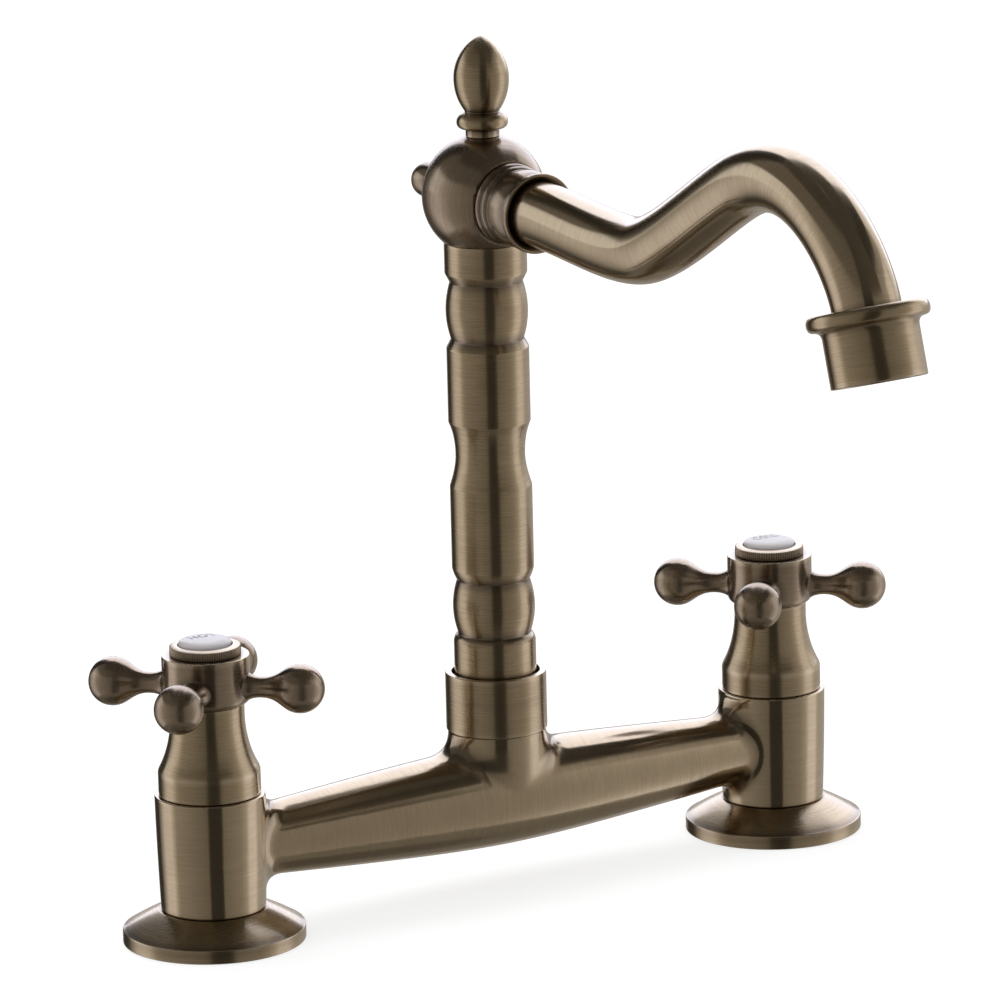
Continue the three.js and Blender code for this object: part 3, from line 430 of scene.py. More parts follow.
def casting():
    mesh = rough_casting()
    points = to_casting(coordinates(mesh))
    put(mesh, points)
    bm = bmesh.new()
    bm.from_mesh(mesh)
    for _ in range(3):
        every_way = {"use_axis_x": True, "use_axis_y": True, "use_axis_z": True}
        bmesh.ops.smooth_vert(bm, verts=bm.verts, factor=0.5, **every_way)
        bm.to_mesh(mesh)
        put(mesh, to_casting(coordinates(mesh)))
        bm.clear()
        bm.from_mesh(mesh)
    half = CENTRES / 2
    for x in (-half, half):
        near = lambda p, x=x: abs(p.x - x) < LEG_REACH
        top = rim(bm, LEG_TOP - 0.6, True, near)
        foot = rim(bm, LEG_BOTTOM + 0.6, False, near)
        top = carry(bm, top, x, [(lost, LEG_TOP - down) for lost, down in EASED_EDGE], inwards=True)
        chamber = [(CHAMBER_RADIUS, LEG_TOP), (CHAMBER_RADIUS, CHAMBER_FLOOR), (SEAT_HOLE, CHAMBER_FLOOR)]
        upper = carry(bm, top, x, chamber)
        foot = carry(bm, foot, x, [(lost, LEG_BOTTOM + up) for lost, up in EASED_EDGE], inwards=True)
        inlet = [(INLET_HOLE, LEG_BOTTOM), (INLET_HOLE, INLET_TOP), (SEAT_HOLE, INLET_TOP)]
        lower = carry(bm, foot, x, inlet)
        bmesh.ops.bridge_loops(bm, edges=upper + lower)
    top = rim(bm, NECK_TOP - 0.5, True, lambda p: abs(p.x) < 30)
    rounded = [(NECK_RADIUS - 0.05, NECK_TOP - 0.2), (NECK_RADIUS - 0.3, NECK_TOP)]
    bore = [(NECK_BORE, NECK_TOP), (NECK_BORE, NECK_LEDGE)]
    end = carry(bm, top, 0, rounded + bore + [(SOCKET_BORE, NECK_LEDGE), (SOCKET_BORE, SOCKET_FLOOR)])
    bmesh.ops.edgeloop_fill(bm, edges=end)
    bmesh.ops.recalc_face_normals(bm, faces=bm.faces)
    bpy.data.meshes.remove(mesh)
    return bm


bridge = piece("bridge_casting", casting(), polished_brass)
bridge_points = coordinates(bridge.data)
bar_places, bar_ways = turning_about(bridge_points, (0, 0, BAR_HEIGHT), (1, 0, 0))
from_middle = np.abs(bridge_points[:, 0])
leg_share = np.clip((from_middle - LEG_BRUSHED) / (LEG_BRUSHED_FULLY - LEG_BRUSHED), 0, 1)
neck_share = (bridge_points[:, 2] - NECK_BRUSHED) / (NECK_BRUSHED_FULLY - NECK_BRUSHED)
neck_share = np.clip(neck_share, 0, 1) * (from_middle < CENTRES / 4)
hot_half = bridge_points[:, 0] < 0
uprights = ((leg_share * hot_half, -CENTRES / 2), (leg_share * ~hot_half, CENTRES / 2), (neck_share, 0))
for share, x in uprights:
    places, ways = turning_about(bridge_points, (x, 0, 0), (0, 0, 1))
    flip = np.where((ways * bar_ways).sum(1) < 0, -1, 1)[:, None]
    bar_ways = bar_ways * (1 - share[:, None]) + ways * flip * share[:, None]
    bar_places = np.where(share[:, None] > 0.5, places, bar_places)
lay(bridge, bar_places, bar_ways)
fillet_depth = casting_distance(bridge_points, fillets=False) - casting_distance(bridge_points)
cast_hollows = np.clip(fillet_depth / FILLET_DEPTH, 0, FILLET_PATINA).astype(np.float32)
bridge.data.attributes["hollow"].data.foreach_set("value", cast_hollows)
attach(bridge, "fixed_body")
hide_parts("bridge_body")

# ---- Inlet bushes ----
# Plain turned brass bushes screwed into the legs from below. They take the tails of the supplies.
# They stay bright, because they are fitted after the patina.


def plain_finish(name, colour, second, metallic, roughness, grain, depth):
    """A bare or moulded surface: two close tones, uneven roughness and a fine relief.
    The grain is its size in mm, and the depth is the relief's."""
    material, tree = start_material(name)
    place = add(tree, "TexCoord").outputs["Object"]
    grains = {"Vector": place, "Scale": 1 / (grain * MM), "Detail": 3, "Roughness": 0.6}
    pattern = add(tree, "TexNoise", grains).outputs["Fac"]
    tone = add(tree, "Mix", {0: pattern, 6: linear(colour), 7: linear(second)}, data_type="RGBA").outputs[2]
    uneven = {0: pattern, 1: 0.3, 2: 0.7, 3: roughness - 0.04, 4: roughness + 0.04}
    rough = add(tree, "MapRange", uneven).outputs[0]
    bump = add(tree, "Bump", {"Strength": 0.3, "Distance": depth * MM, "Height": pattern}).outputs[0]
    inputs = {"Base Color": tone, "Metallic": metallic, "Roughness": rough, "Normal": bump}
    add(tree, "OutputMaterial", {"Surface": add(tree, "BsdfPrincipled", inputs).outputs[0]})
    return material


def finish_nodes(material, *nodes):
    """Gives CAD pieces that stay as they are their finish."""
    for name in nodes:
        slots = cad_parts[name].data.materials
        slots.clear()
        slots.append(material)


bare_brass = plain_finish("machined_brass", "#c8ab6b", "#b3955a", 1, 0.32, 0.8, 0.01)
finish_nodes(bare_brass, "hot_inlet_bush", "cold_inlet_bush")

# ---- Deck flanges ----
# Spun covers that hide the holes in the deck, each over a rubber ring.
# They are brushed round like the legs, and painted shade darkens them where the leg stands on them.

FLANGE_RADIUS = 27.6
FLANGE_RIM = 4.3
FLANGE_TOP = 9.9
FLANGE_WALL = 2.4

for side, x in (("hot", -CENTRES / 2), ("cold", CENTRES / 2)):
    profile = outline(
        (FLANGE_RADIUS - FLANGE_WALL, 0),
        (FLANGE_RADIUS, 0),
        (FLANGE_RADIUS, FLANGE_RIM - 0.2),
        (FLANGE_RADIUS - 0.5, FLANGE_RIM),
        (21.5, 7.8, LEG_FOOT_RADIUS + 0.6, FLANGE_TOP),
        (INLET_HOLE, FLANGE_TOP),
        (INLET_HOLE, FLANGE_TOP - FLANGE_WALL),
        (LEG_FOOT_RADIUS, FLANGE_TOP - FLANGE_WALL),
        (20.5, 5.8, FLANGE_RADIUS - FLANGE_WALL, FLANGE_RIM - 1.8),
    )
    cover = moved(turned(profile, closed=True), Matrix.Translation((x * MM, 0, 0)))
    flange = piece(side + "_flange_cover", cover, rubbed_brass)
    brush_round(flange, (x, 0, 0))
    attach(flange, "fixed_body")
    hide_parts(side + "_deck_flange")

rubber = plain_finish("moulded_nitrile_rubber", "#1d1d1e", "#29292a", 0, 0.7, 0.6, 0.02)
finish_nodes(rubber, "hot_deck_gasket", "cold_deck_gasket", "hot_seat_seal", "cold_seat_seal")

# ---- Cartridges ----
# Quarter-turn ceramic cartridges: a machined brass body and spindle, and two lapped alumina discs.
# The bells hide them, and only the tops of the spindles come near a gap.

alumina = plain_finish("lapped_alumina", "#ece8e0", "#dfdad0", 0, 0.22, 0.3, 0.002)
for side in ("hot", "cold"):
    finish_nodes(bare_brass, side + "_cartridge_body", side + "_spindle")
    finish_nodes(alumina, side + "_fixed_disc", side + "_moving_disc")

# ---- Bells ----
# Turned bonnets, screwed down over the cartridges until their rims meet the legs.
# The flare ends in a plain band, and the spindle comes out through the neck.

BELL_RADIUS = 15.4
BELL_NECK = 11.2
BELL_TOP = 73.35
BELL_BOTTOM = LEG_TOP + SEAM
BELL_BORE = 7

for side, x in (("hot", -CENTRES / 2), ("cold", CENTRES / 2)):
    profile = outline(
        (BELL_RADIUS - 2.1, BELL_BOTTOM),
        (BELL_RADIUS, BELL_BOTTOM),
        (BELL_RADIUS, 52.6),
        (BELL_RADIUS - 0.3, 53.6),
        (BELL_RADIUS - 3.8, 60, BELL_NECK, 68.5),
        (BELL_NECK, BELL_TOP),
        (BELL_BORE, BELL_TOP),
        (BELL_BORE, 65),
        (BELL_RADIUS - 5, 60, BELL_RADIUS - 2.1, 51.5),
    )
    bonnet = moved(turned(profile, closed=True), Matrix.Translation((x * MM, 0, 0)))
    bell = piece(side + "_bell", bonnet, rubbed_brass)
    brush_round(bell, (x, 0, 0))
    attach(bell, "fixed_body")
    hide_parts(side + "_bonnet")

# ---- Cross handles ----
# A hub with four turned arms that end in balls, cast in one and left a little darker than the legs.
# A screw in the recess holds the handle on the spindle's spline.

HUB_RADIUS = 13.2
HUB_BOTTOM = 73.5
HUB_TOP = 88.4
HUB_FLOOR = 84
HUB_WEB = 82
RECESS_RADIUS = 8.8
BROACH_RADIUS = 4.3
SCREW_HOLE = 2.3
ARM_HEIGHT = 78.9
ARM_REACH = 29.1
ARM_BALL = 7.4
ARM_NECK = 3.15
HOT_ARMS = -46
COLD_ARMS = -41.4


def welded(solids, operation="UNION"):
    """One closed skin over solids that run into each other, or the first one less the others."""
    group = bpy.data.collections.new("weld")
    objects = []
    for bm in solids:
        mesh = bpy.data.meshes.new("weld")
        bm.to_mesh(mesh)
        bm.free()
        objects.append(bpy.data.objects.new("weld", mesh))
    bpy.context.collection.objects.link(objects[0])
    for other in objects[1:]:
        group.objects.link(other)
    bpy.context.scene.collection.children.link(group)
    union = objects[0].modifiers.new("Weld", "BOOLEAN")
    union.operation = operation
    union.solver = "EXACT"
    union.operand_type = "COLLECTION"
    union.collection = group
    evaluated = objects[0].evaluated_get(bpy.context.evaluated_depsgraph_get())
    bm = bmesh.new()
    bm.from_mesh(evaluated.to_mesh())
    evaluated.to_mesh_clear()
    for made in objects:
        bpy.data.meshes.remove(made.data)
    bpy.data.collections.remove(group)
    return bm


def cross_handle():
    hub = turned(
        outline(
            (BROACH_RADIUS, HUB_BOTTOM),
            (HUB_RADIUS - 1.8, HUB_BOTTOM),
            (HUB_RADIUS - 0.2, HUB_BOTTOM + 0.4, HUB_RADIUS, HUB_BOTTOM + 2.2),
            (HUB_RADIUS, HUB_TOP),
            (RECESS_RADIUS, HUB_TOP),
            (RECESS_RADIUS, HUB_FLOOR),
            (SCREW_HOLE, HUB_FLOOR),
            (SCREW_HOLE, HUB_WEB),
            (BROACH_RADIUS, HUB_WEB),
        ),
        closed=True,
    )
    tip = ARM_REACH + ARM_BALL
    arms = []
    for turn in (0, 90, 180, 270):
        arm = turned(
            outline(
                (0, 11),
                (5.3, 12),
                (ARM_NECK, 13.4, ARM_NECK, 17.5),
                (ARM_NECK, 23.2, ARM_BALL, 24.2, ARM_BALL, ARM_REACH),
                (ARM_BALL, tip - 3.3, 4.1, tip, 0, tip),
            ),
            sides=64,
        )
        lie = Matrix.Translation(UP * ARM_HEIGHT * MM) @ Matrix.Rotation(math.radians(turn), 4, "Z")
        arms.append(moved(arm, lie @ Matrix.Rotation(math.pi / 2, 4, "Y")))
    return welded([hub, *arms])


def brush_handle(made, x, turn):
    """The hub is brushed about its own axis and each arm about its length."""
    points = coordinates(made.data)
    out = np.hypot(points[:, 0] - x, points[:, 1])
    places, ways = turning_about(points, (x, 0, 0), (0, 0, 1))
    for quarter in range(4):
        angle = math.radians(turn + 90 * quarter)
        axis = np.array((math.cos(angle), math.sin(angle), 0))
        mine = (out > HUB_RADIUS + 0.4) & ((points - (x, 0, 0)) @ axis > out * math.cos(math.pi / 4))
        arm_places, arm_ways = turning_about(points, (x, 0, ARM_HEIGHT), axis)
        places[mine] = arm_places[mine]
        ways[mine] = arm_ways[mine]
    lay(made, places, ways)


steel = plain_finish("machined_stainless_steel", "#b4b5b7", "#9c9da0", 1, 0.3, 0.5, 0.008)
for side, x, turn in (("hot", -CENTRES / 2, HOT_ARMS), ("cold", CENTRES / 2, COLD_ARMS)):
    place_handle = Matrix.Translation((x * MM, 0, 0)) @ Matrix.Rotation(math.radians(turn), 4, "Z")
    handle = piece(side + "_cross_handle", moved(cross_handle(), place_handle), dark_brass)
    brush_handle(handle, x, turn)
    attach(handle, side + "_turning")
    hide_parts(side + "_handle")
    finish_nodes(steel, side + "_handle_screw")

# ---- Index rings ----
# Knurled rings screwed into the hubs, which hold the porcelain discs. The ribs are cut with a straight
# knurling wheel and keep the dark patina between them.

INDEX_RADIUS = 10.7
INDEX_BOTTOM = HUB_TOP + 0.15
KNURL_TOP = 91.1
INDEX_TOP = 91.6
INDEX_THREAD_BOTTOM = 87
PORCELAIN_RADIUS = 8
RIBS = 90
RIB_DEPTH = 0.4


def index_ring():
    bm = turned(
        outline(
            (PORCELAIN_RADIUS + 0.3, INDEX_THREAD_BOTTOM),
            (RECESS_RADIUS - 0.3, INDEX_THREAD_BOTTOM),
            (RECESS_RADIUS - 0.3, INDEX_BOTTOM),
            (INDEX_RADIUS, INDEX_BOTTOM),
            (INDEX_RADIUS, KNURL_TOP),
            (PORCELAIN_RADIUS + 0.8, INDEX_TOP),
            (PORCELAIN_RADIUS + 0.3, INDEX_TOP),
        ),
        closed=True,
        sides=4 * RIBS,
        ease=0.15,
    )
    for v in bm.verts:
        out = math.hypot(v.co.x, v.co.y) / MM
        if out > INDEX_RADIUS - 0.2 and v.co.z / MM < KNURL_TOP + 0.05:
            depth = RIB_DEPTH * (0.5 + 0.5 * math.cos(RIBS * math.atan2(v.co.y, v.co.x)))
            v.co.x *= 1 - depth / out
            v.co.y *= 1 - depth / out
    return bm


for side, x in (("hot", -CENTRES / 2), ("cold", CENTRES / 2)):
    ring = moved(index_ring(), Matrix.Translation((x * MM, 0, 0)))
    index = piece(side + "_index_rim", ring, dark_brass, reach=0.25)
    brush_round(index, (x, 0, 0))
    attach(index, side + "_turning")
    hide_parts(side + "_index_ring")

# ---- Porcelain index discs ----
# Slightly domed discs of glazed porcelain, held by the index rings.
# The word hot or cold is fired on in dark grey, towards the back.

PORCELAIN_BOTTOM = 90
PORCELAIN_TOP = 93.4
LETTER_HEIGHT = 3.4
WORD_WIDTH = 8.8
WORD_PLACE = (0.4, 2.2)  # from the disc's middle
PRINT_DEPTH = 0.03
PRINT_THICKNESS = 0.06


def porcelain():
    material, tree = start_material("glazed_porcelain")
    place = add(tree, "TexCoord").outputs["Object"]
    milk = add(tree, "TexNoise", {"Vector": place, "Scale": 1 / (3 * MM), "Detail": 2}).outputs["Fac"]
    tones = {0: milk, 6: linear("#d2cdcd"), 7: linear("#c9c4c4")}
    colour = add(tree, "Mix", tones, data_type="RGBA").outputs[2]
    ripple = add(tree, "Bump", {"Strength": 0.1, "Distance": 0.02 * MM, "Height": milk}).outputs[0]
    inputs = {"Base Color": colour, "Roughness": 0.25, "IOR": 1.5, "Normal": ripple}
    add(tree, "OutputMaterial", {"Surface": add(tree, "BsdfPrincipled", inputs).outputs[0]})
    return material


dome = outline(
    (PORCELAIN_RADIUS, INDEX_TOP + 0.1),
    (PORCELAIN_RADIUS, PORCELAIN_TOP - 0.6, 5.6, PORCELAIN_TOP - 0.2),
    (2.8, PORCELAIN_TOP, 0, PORCELAIN_TOP),
)


def disc_height(radius):
    """Height of the dome at a radius, as the outline's curve has it."""
    return float(np.interp(radius, [p.x for p in reversed(dome)], [p.y for p in reversed(dome)]))


glaze = porcelain()
print_colour = plain_finish("fired_print", "#55504e", "#4a4543", 0, 0.3, 0.4, 0.002)
for side, x in (("hot", -CENTRES / 2), ("cold", CENTRES / 2)):
    profile = outline((0, PORCELAIN_BOTTOM), (PORCELAIN_RADIUS, PORCELAIN_BOTTOM)) + dome
    button = moved(turned(profile, ease=0.2), Matrix.Translation((x * MM, 0, 0)))
    disc = piece(side + "_porcelain", button, glaze)
    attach(disc, side + "_turning")
    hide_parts(side + "_index_disc")
    word = bpy.data.curves.new("word", "FONT")
    word.body = side.upper()
    word.size = LETTER_HEIGHT * MM
    word.align_x = "CENTER"
    word.align_y = "CENTER"
    word.space_character = 1.1
    word.resolution_u = 4
    flat_word = bpy.data.objects.new("word", word)
    bpy.context.collection.objects.link(flat_word)
    made = bpy.data.meshes.new_from_object(flat_word.evaluated_get(bpy.context.evaluated_depsgraph_get()))
    bpy.data.objects.remove(flat_word)
    bm = bmesh.new()
    bm.from_mesh(made)
    bpy.data.meshes.remove(made)
    bmesh.ops.remove_doubles(bm, verts=bm.verts, dist=0.001 * MM)
    width = max(v.co.x for v in bm.verts) - min(v.co.x for v in bm.verts)
    height = max(v.co.y for v in bm.verts) - min(v.co.y for v in bm.verts)
    stretch = Matrix.Diagonal((WORD_WIDTH * MM / width, LETTER_HEIGHT * MM / height, 1, 1))
    moved(bm, Matrix.Translation((WORD_PLACE[0] * MM, WORD_PLACE[1] * MM, 0)) @ stretch)
    for v in bm.verts:
        v.co.z = (disc_height(math.hypot(v.co.x, v.co.y) / MM) - PRINT_DEPTH) * MM
    bmesh.ops.recalc_face_normals(bm, faces=bm.faces)
    extruded = bmesh.ops.extrude_face_region(bm, geom=bm.faces[:])["geom"]
    for v in extruded:
        if isinstance(v, bmesh.types.BMVert):
            v.co.z += PRINT_THICKNESS * MM
    bmesh.ops.recalc_face_normals(bm, faces=bm.faces)
    moved(bm, Matrix.Translation((x * MM, 0, 0)))
    letters = piece(side + "_word", bm, print_colour)
    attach(letters, side + "_turning")

# ---- Riser socket ----
# A turned collar screwed into the neck. The riser turns in it on a slip ring, under two O-rings,
# and the set screw at its back keeps the riser in.

COLLAR_RADIUS = 15.5
COLLAR_BOTTOM = NECK_TOP + SEAM
COLLAR_TOP = 67.4
COLLAR_BORE = 13.5
SOCKET_STEP = 59.5
GRUB_HEIGHT = 54.5
GRUB_HOLE = 2.3


def socket():
    collar = turned(
        outline(
            (SOCKET_BORE, NECK_LEDGE + 0.3),
            (NECK_BORE - 0.3, NECK_LEDGE + 0.3),
            (NECK_BORE - 0.3, COLLAR_BOTTOM),
            (COLLAR_RADIUS, COLLAR_BOTTOM),
            (COLLAR_RADIUS, COLLAR_TOP),
            (COLLAR_BORE, COLLAR_TOP),
            (COLLAR_BORE, SOCKET_STEP),
            (SOCKET_BORE, SOCKET_STEP),
        ),
        closed=True,
    )
    hole = turned(outline((0, 9), (GRUB_HOLE, 9), (GRUB_HOLE, 18), (0, 18)), sides=48)
    moved(hole, Matrix.Translation(UP * GRUB_HEIGHT * MM) @ Matrix.Rotation(-math.pi / 2, 4, "X"))
    return welded([collar, hole], "DIFFERENCE")


collar = piece("riser_collar", socket(), rubbed_brass)
brush_round(collar)
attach(collar, "fixed_body")
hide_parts("riser_socket")
finish_nodes(steel, "riser_grub_screw")

# ---- Riser ----
# A column turned from thick tube: plain bands, two bulbs between grooves and a waist.
# Its spigot turns in the socket, and its thread holds the ball.

RISER_RADIUS = 12.55
RISER_BORE = 7
SPIGOT_RADIUS = 10
SPIGOT_BOTTOM = 38.5
SHOULDER = 61.5
VALLEY = 11.1
WAIST = 10.6
BALL_HEIGHT = 215.2
BALL_RADIUS = 18.8
BALL_FLAT = 12.6
BALL_FACE = math.sqrt(BALL_RADIUS**2 - BALL_FLAT**2)
RISER_TOP = BALL_HEIGHT - BALL_FACE - SEAM
THREAD_RADIUS = 8.6
THREAD_TOP = 206.5
GROOVES = ((42.3, 1.2), (47.6, 1.2), (GRUB_HEIGHT, 2.3))  # height and half width

spigot = [(RISER_BORE, SPIGOT_BOTTOM), (SPIGOT_RADIUS, SPIGOT_BOTTOM)]
for height, half in GROOVES:
    spigot += [(SPIGOT_RADIUS, height - half), (SPIGOT_RADIUS - 1.6, height - half)]
    spigot += [(SPIGOT_RADIUS - 1.6, height + half), (SPIGOT_RADIUS, height + half)]
column = outline(
    *spigot,
    (SPIGOT_RADIUS, SHOULDER),
    (RISER_RADIUS, SHOULDER),
    (RISER_RADIUS, 76.5),
    (RISER_RADIUS, 78.6, VALLEY, 79.4),
    (14.0, 87.9, VALLEY, 96.3),
    (12.1, 97.8, RISER_RADIUS, 100),
    (RISER_RADIUS, 125.6),
    (WAIST, 131.3, WAIST, 135.2),
    (WAIST, 141.3, RISER_RADIUS, 145.6),
    (RISER_RADIUS, 168.6),
    (VALLEY, 171.3),
    (13.9, 180, VALLEY, 188.9),
    (RISER_RADIUS, 191.7),
    (RISER_RADIUS, RISER_TOP),
    (THREAD_RADIUS, RISER_TOP),
    (THREAD_RADIUS, THREAD_TOP),
    (RISER_BORE, THREAD_TOP),
)
riser = piece("turned_riser", turned(column, closed=True), rubbed_brass)
brush_round(riser)
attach(riser, "swivel_spout")
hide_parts("riser_column")
acetal = plain_finish("moulded_acetal", "#e6e7e5", "#dcdddb", 0, 0.45, 1.2, 0.01)
finish_nodes(acetal, "riser_slip_ring")
finish_nodes(rubber, "riser_o_ring_lower", "riser_o_ring_upper")

# ---- Ball head ----
# A brass ball with flat faces for the riser, the spout union, the finial and the rear knob.
# It is brushed about the union's axis and left a little darker than the riser.

FINIAL_NECK = 5.1
DROOP = math.radians(1.8)
BALL_MIDDLE = Vector((0, 0, BALL_HEIGHT))
BALL_CROWN = math.sqrt(BALL_RADIUS**2 - FINIAL_NECK**2)
FORWARD = Matrix.Rotation(math.pi / 2 + DROOP, 4, "X")
BACKWARD = Matrix.Rotation(-math.pi / 2, 4, "X")


def ball():
    bm = bmesh.new()
    bmesh.ops.create_uvsphere(bm, u_segments=128, v_segments=64, radius=BALL_RADIUS * MM)
    faces = ((-UP, BALL_FACE), (FORWARD @ UP, BALL_FACE), (UP, BALL_CROWN), (BACKWARD @ UP, BALL_CROWN))
    for way, reach in faces:
        everything = bm.verts[:] + bm.edges[:] + bm.faces[:]
        cut = bmesh.ops.bisect_plane(
            bm, geom=everything, plane_co=way * reach * MM, plane_no=way, clear_outer=True
        )
        edges = [e for e in cut["geom_cut"] if isinstance(e, bmesh.types.BMEdge)]
        bmesh.ops.edgeloop_fill(bm, edges=edges)
    bmesh.ops.recalc_face_normals(bm, faces=bm.faces)
    return moved(bm, Matrix.Translation(BALL_MIDDLE * MM))


head = piece("ball", ball(), dark_brass, worn=False)
brush_round(head, BALL_MIDDLE, FORWARD @ UP)
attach(head, "swivel_spout")
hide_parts("ball_head")

# ---- Finial and rear knob ----
# Turned ornaments screwed into the ball: an egg on a ring above it, and a small knob behind it.
# Both are brushed round their own axes.

FINIAL_TOP = 264
STUD_RADIUS = 2.3
STUD_LENGTH = 7.2
KNOB_RADIUS = 5.5
SEAT = BALL_CROWN + SEAM  # from the ball's middle

finial_outline = outline(
    (0, BALL_HEIGHT + SEAT - STUD_LENGTH),
    (STUD_RADIUS, BALL_HEIGHT + SEAT - STUD_LENGTH),
    (STUD_RADIUS, BALL_HEIGHT + SEAT),
    (FINIAL_NECK, BALL_HEIGHT + SEAT),
    (FINIAL_NECK, 235.6),
    (8.1, 235.8, 7.75, 238.2),
    (7.4, 240.3, FINIAL_NECK, 241),
    (8.4, 245.4, 8.36, 251.2),
    (8.4, 256.2, 4.9, 262.6, 0, FINIAL_TOP),
)
finial = piece("turned_finial", turned(finial_outline, sides=96), rubbed_brass)
brush_round(finial)
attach(finial, "swivel_spout")
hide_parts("finial")

knob_outline = outline(
    (0, SEAT - STUD_LENGTH),
    (STUD_RADIUS, SEAT - STUD_LENGTH),
    (STUD_RADIUS, SEAT),
    (FINIAL_NECK - 0.3, SEAT),
    (3.2, 21, 3.2, 25),
    (KNOB_RADIUS, 26.6, KNOB_RADIUS, 31.4),
    (KNOB_RADIUS, 36.3, 0, 36.8),
)
knob_place = Matrix.Translation(BALL_MIDDLE * MM) @ BACKWARD
knob = piece("turned_knob", moved(turned(knob_outline, sides=96), knob_place), dark_brass)
brush_round(knob, BALL_MIDDLE, BACKWARD @ UP)
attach(knob, "swivel_spout")
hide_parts("rear_knob")

# ---- Spout union ----
# A turned nut with two beads, a rounded band and a lip.
# It screws into the ball, and the tube seats in it on a seal.

TUBE_RADIUS = 9.95
TUBE_BORE = 8.45
TUBE_FIT = 0.15  # round the tube, in the union and in the outlet
UNION_END = 31.4
SEAL_SEAT = 20.4

union_outline = outline(
    (TUBE_BORE - 1.3, 9.5),
    (THREAD_RADIUS, 9.5),
    (THREAD_RADIUS, BALL_FACE + SEAM),
    (12, BALL_FACE + SEAM),
    (13, 15.5, 11.6, 16.8),
    (12.7, 18.2, 11.2, 19.6),
    (12.5, 24, 11.3, 28.6),
    (12.2, 29.6),
    (12.2, UNION_END - 0.3),
    (11.9, UNION_END),
    (11.4, UNION_END),
    (TUBE_RADIUS + TUBE_FIT, 30.4),
    (TUBE_RADIUS + TUBE_FIT, SEAL_SEAT),
    (TUBE_BORE - 1.3, SEAL_SEAT),
)
union_place = Matrix.Translation(BALL_MIDDLE * MM) @ FORWARD
union = piece("turned_union", moved(turned(union_outline, closed=True), union_place), dark_brass)
brush_round(union, BALL_MIDDLE, FORWARD @ UP)
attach(union, "swivel_spout")
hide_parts("spout_union")
finish_nodes(rubber, "union_seal")

# ---- Spout tube ----
# A drawn brass tube, bent in two opposite bends.
# It is brushed round its own bent line and polished a little brighter than the riser.

TUBE_START = 22.3
TUBE_INSERT = 2.6  # inside the outlet
OUTLET_TILT = math.radians(16.5)
SPOUT_PATH = (
    (53.4, 213.6, 76.3, 208.4, 90.6, 213.0),
    (106.7, 218.2, 129.5, 235.4, 143.3, 241.0),
    (172.9, 252.9, 197.0, 227.6, 201.2, 213.7),
)


def spout_line():
    """The tube's centreline in mm, as distance forward and height."""
    drooped = lambda distance: Vector((distance, BALL_HEIGHT - distance * math.tan(DROOP)))
    points = [drooped(TUBE_START), drooped(UNION_END)]
    for d1, z1, d2, z2, d3, z3 in SPOUT_PATH:
        points += interpolate_bezier(points[-1], Vector((d1, z1)), Vector((d2, z2)), Vector((d3, z3)), 48)[1:]
    end = Vector((math.sin(OUTLET_TILT), -math.cos(OUTLET_TILT)))
    return points + [points[-1] + end * TUBE_INSERT]


def spout_tube(line):
    """A ring swept down the centreline. Its wall is added inwards."""
    bm = bmesh.new()
    before = bmesh.ops.create_circle(bm, segments=96, radius=TUBE_RADIUS * MM)["verts"]
    ring = bm.edges[:]
    here = None
    for i, point in enumerate(line):
        ahead = line[min(i + 1, len(line) - 1)] - line[max(i - 1, 0)]
        tilt = Matrix.Rotation(math.atan2(ahead.x, ahead.y), 4, "X")
        lie = Matrix.Translation((0, -point.x * MM, point.y * MM)) @ tilt
        if i:
            made = bmesh.ops.extrude_edge_only(bm, edges=ring)["geom"]
            before = [v for v in made if isinstance(v, bmesh.types.BMVert)]
            fresh = set(before)
            ring = [e for e in made if isinstance(e, bmesh.types.BMEdge) and set(e.verts) <= fresh]
            bmesh.ops.transform(bm, matrix=lie @ here.inverted(), verts=before)
        else:
            bmesh.ops.transform(bm, matrix=lie, verts=before)
        here = lie
    bmesh.ops.recalc_face_normals(bm, faces=bm.faces)
    return bm


def brush_tube(made, line):
    """The tube is brushed round its own bent line."""
    points = coordinates(made.data)
    middles = np.array([(0, -p.x, p.y) for p in line])
    ways = np.gradient(middles, axis=0)
    ways /= np.linalg.norm(ways, axis=1)[:, None]
    lengths = np.concatenate([[0], np.cumsum(np.linalg.norm(np.diff(middles, axis=0), axis=1))])
    near = ((points[:, None, :] - middles[None]) ** 2).sum(2).argmin(1)
    out = points - middles[near]
    axis = ways[near]
    along = (out * axis).sum(1)
    side = np.array((1.0, 0, 0))
    up = np.cross(axis, side)
    places = np.stack([out @ side, (out * up).sum(1), lengths[near] + along], 1)
    lay(made, places, np.cross(axis, out))


tube_line = spout_line()
tube = piece("bent_tube", spout_tube(tube_line), polished_brass)
brush_tube(tube, tube_line)
wall = tube.modifiers.new("Wall", "SOLIDIFY")
wall.thickness = (TUBE_RADIUS - TUBE_BORE) * MM
wall.offset = -1
tube.modifiers.move(1, 0)
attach(tube, "swivel_spout")
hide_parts("spout_tube")

# ---- Outlet sleeve and aerator ----
# A turned sleeve with a round flange, soldered to the end of the tube. The plastic aerator
# and its seal are pressed in from below.

OUTLET_PLACE = Matrix.Translation((0, -201.2 * MM, 213.7 * MM))
OUTLET_PLACE @= Matrix.Rotation(math.pi - OUTLET_TILT, 4, "X")
OUTLET_FLANGE = 17.6
OUTLET_RADIUS = 13.8
OUTLET_LENGTH = 20.7
AERATOR_RADIUS = 11.9
AERATOR_SEAT = 4.8

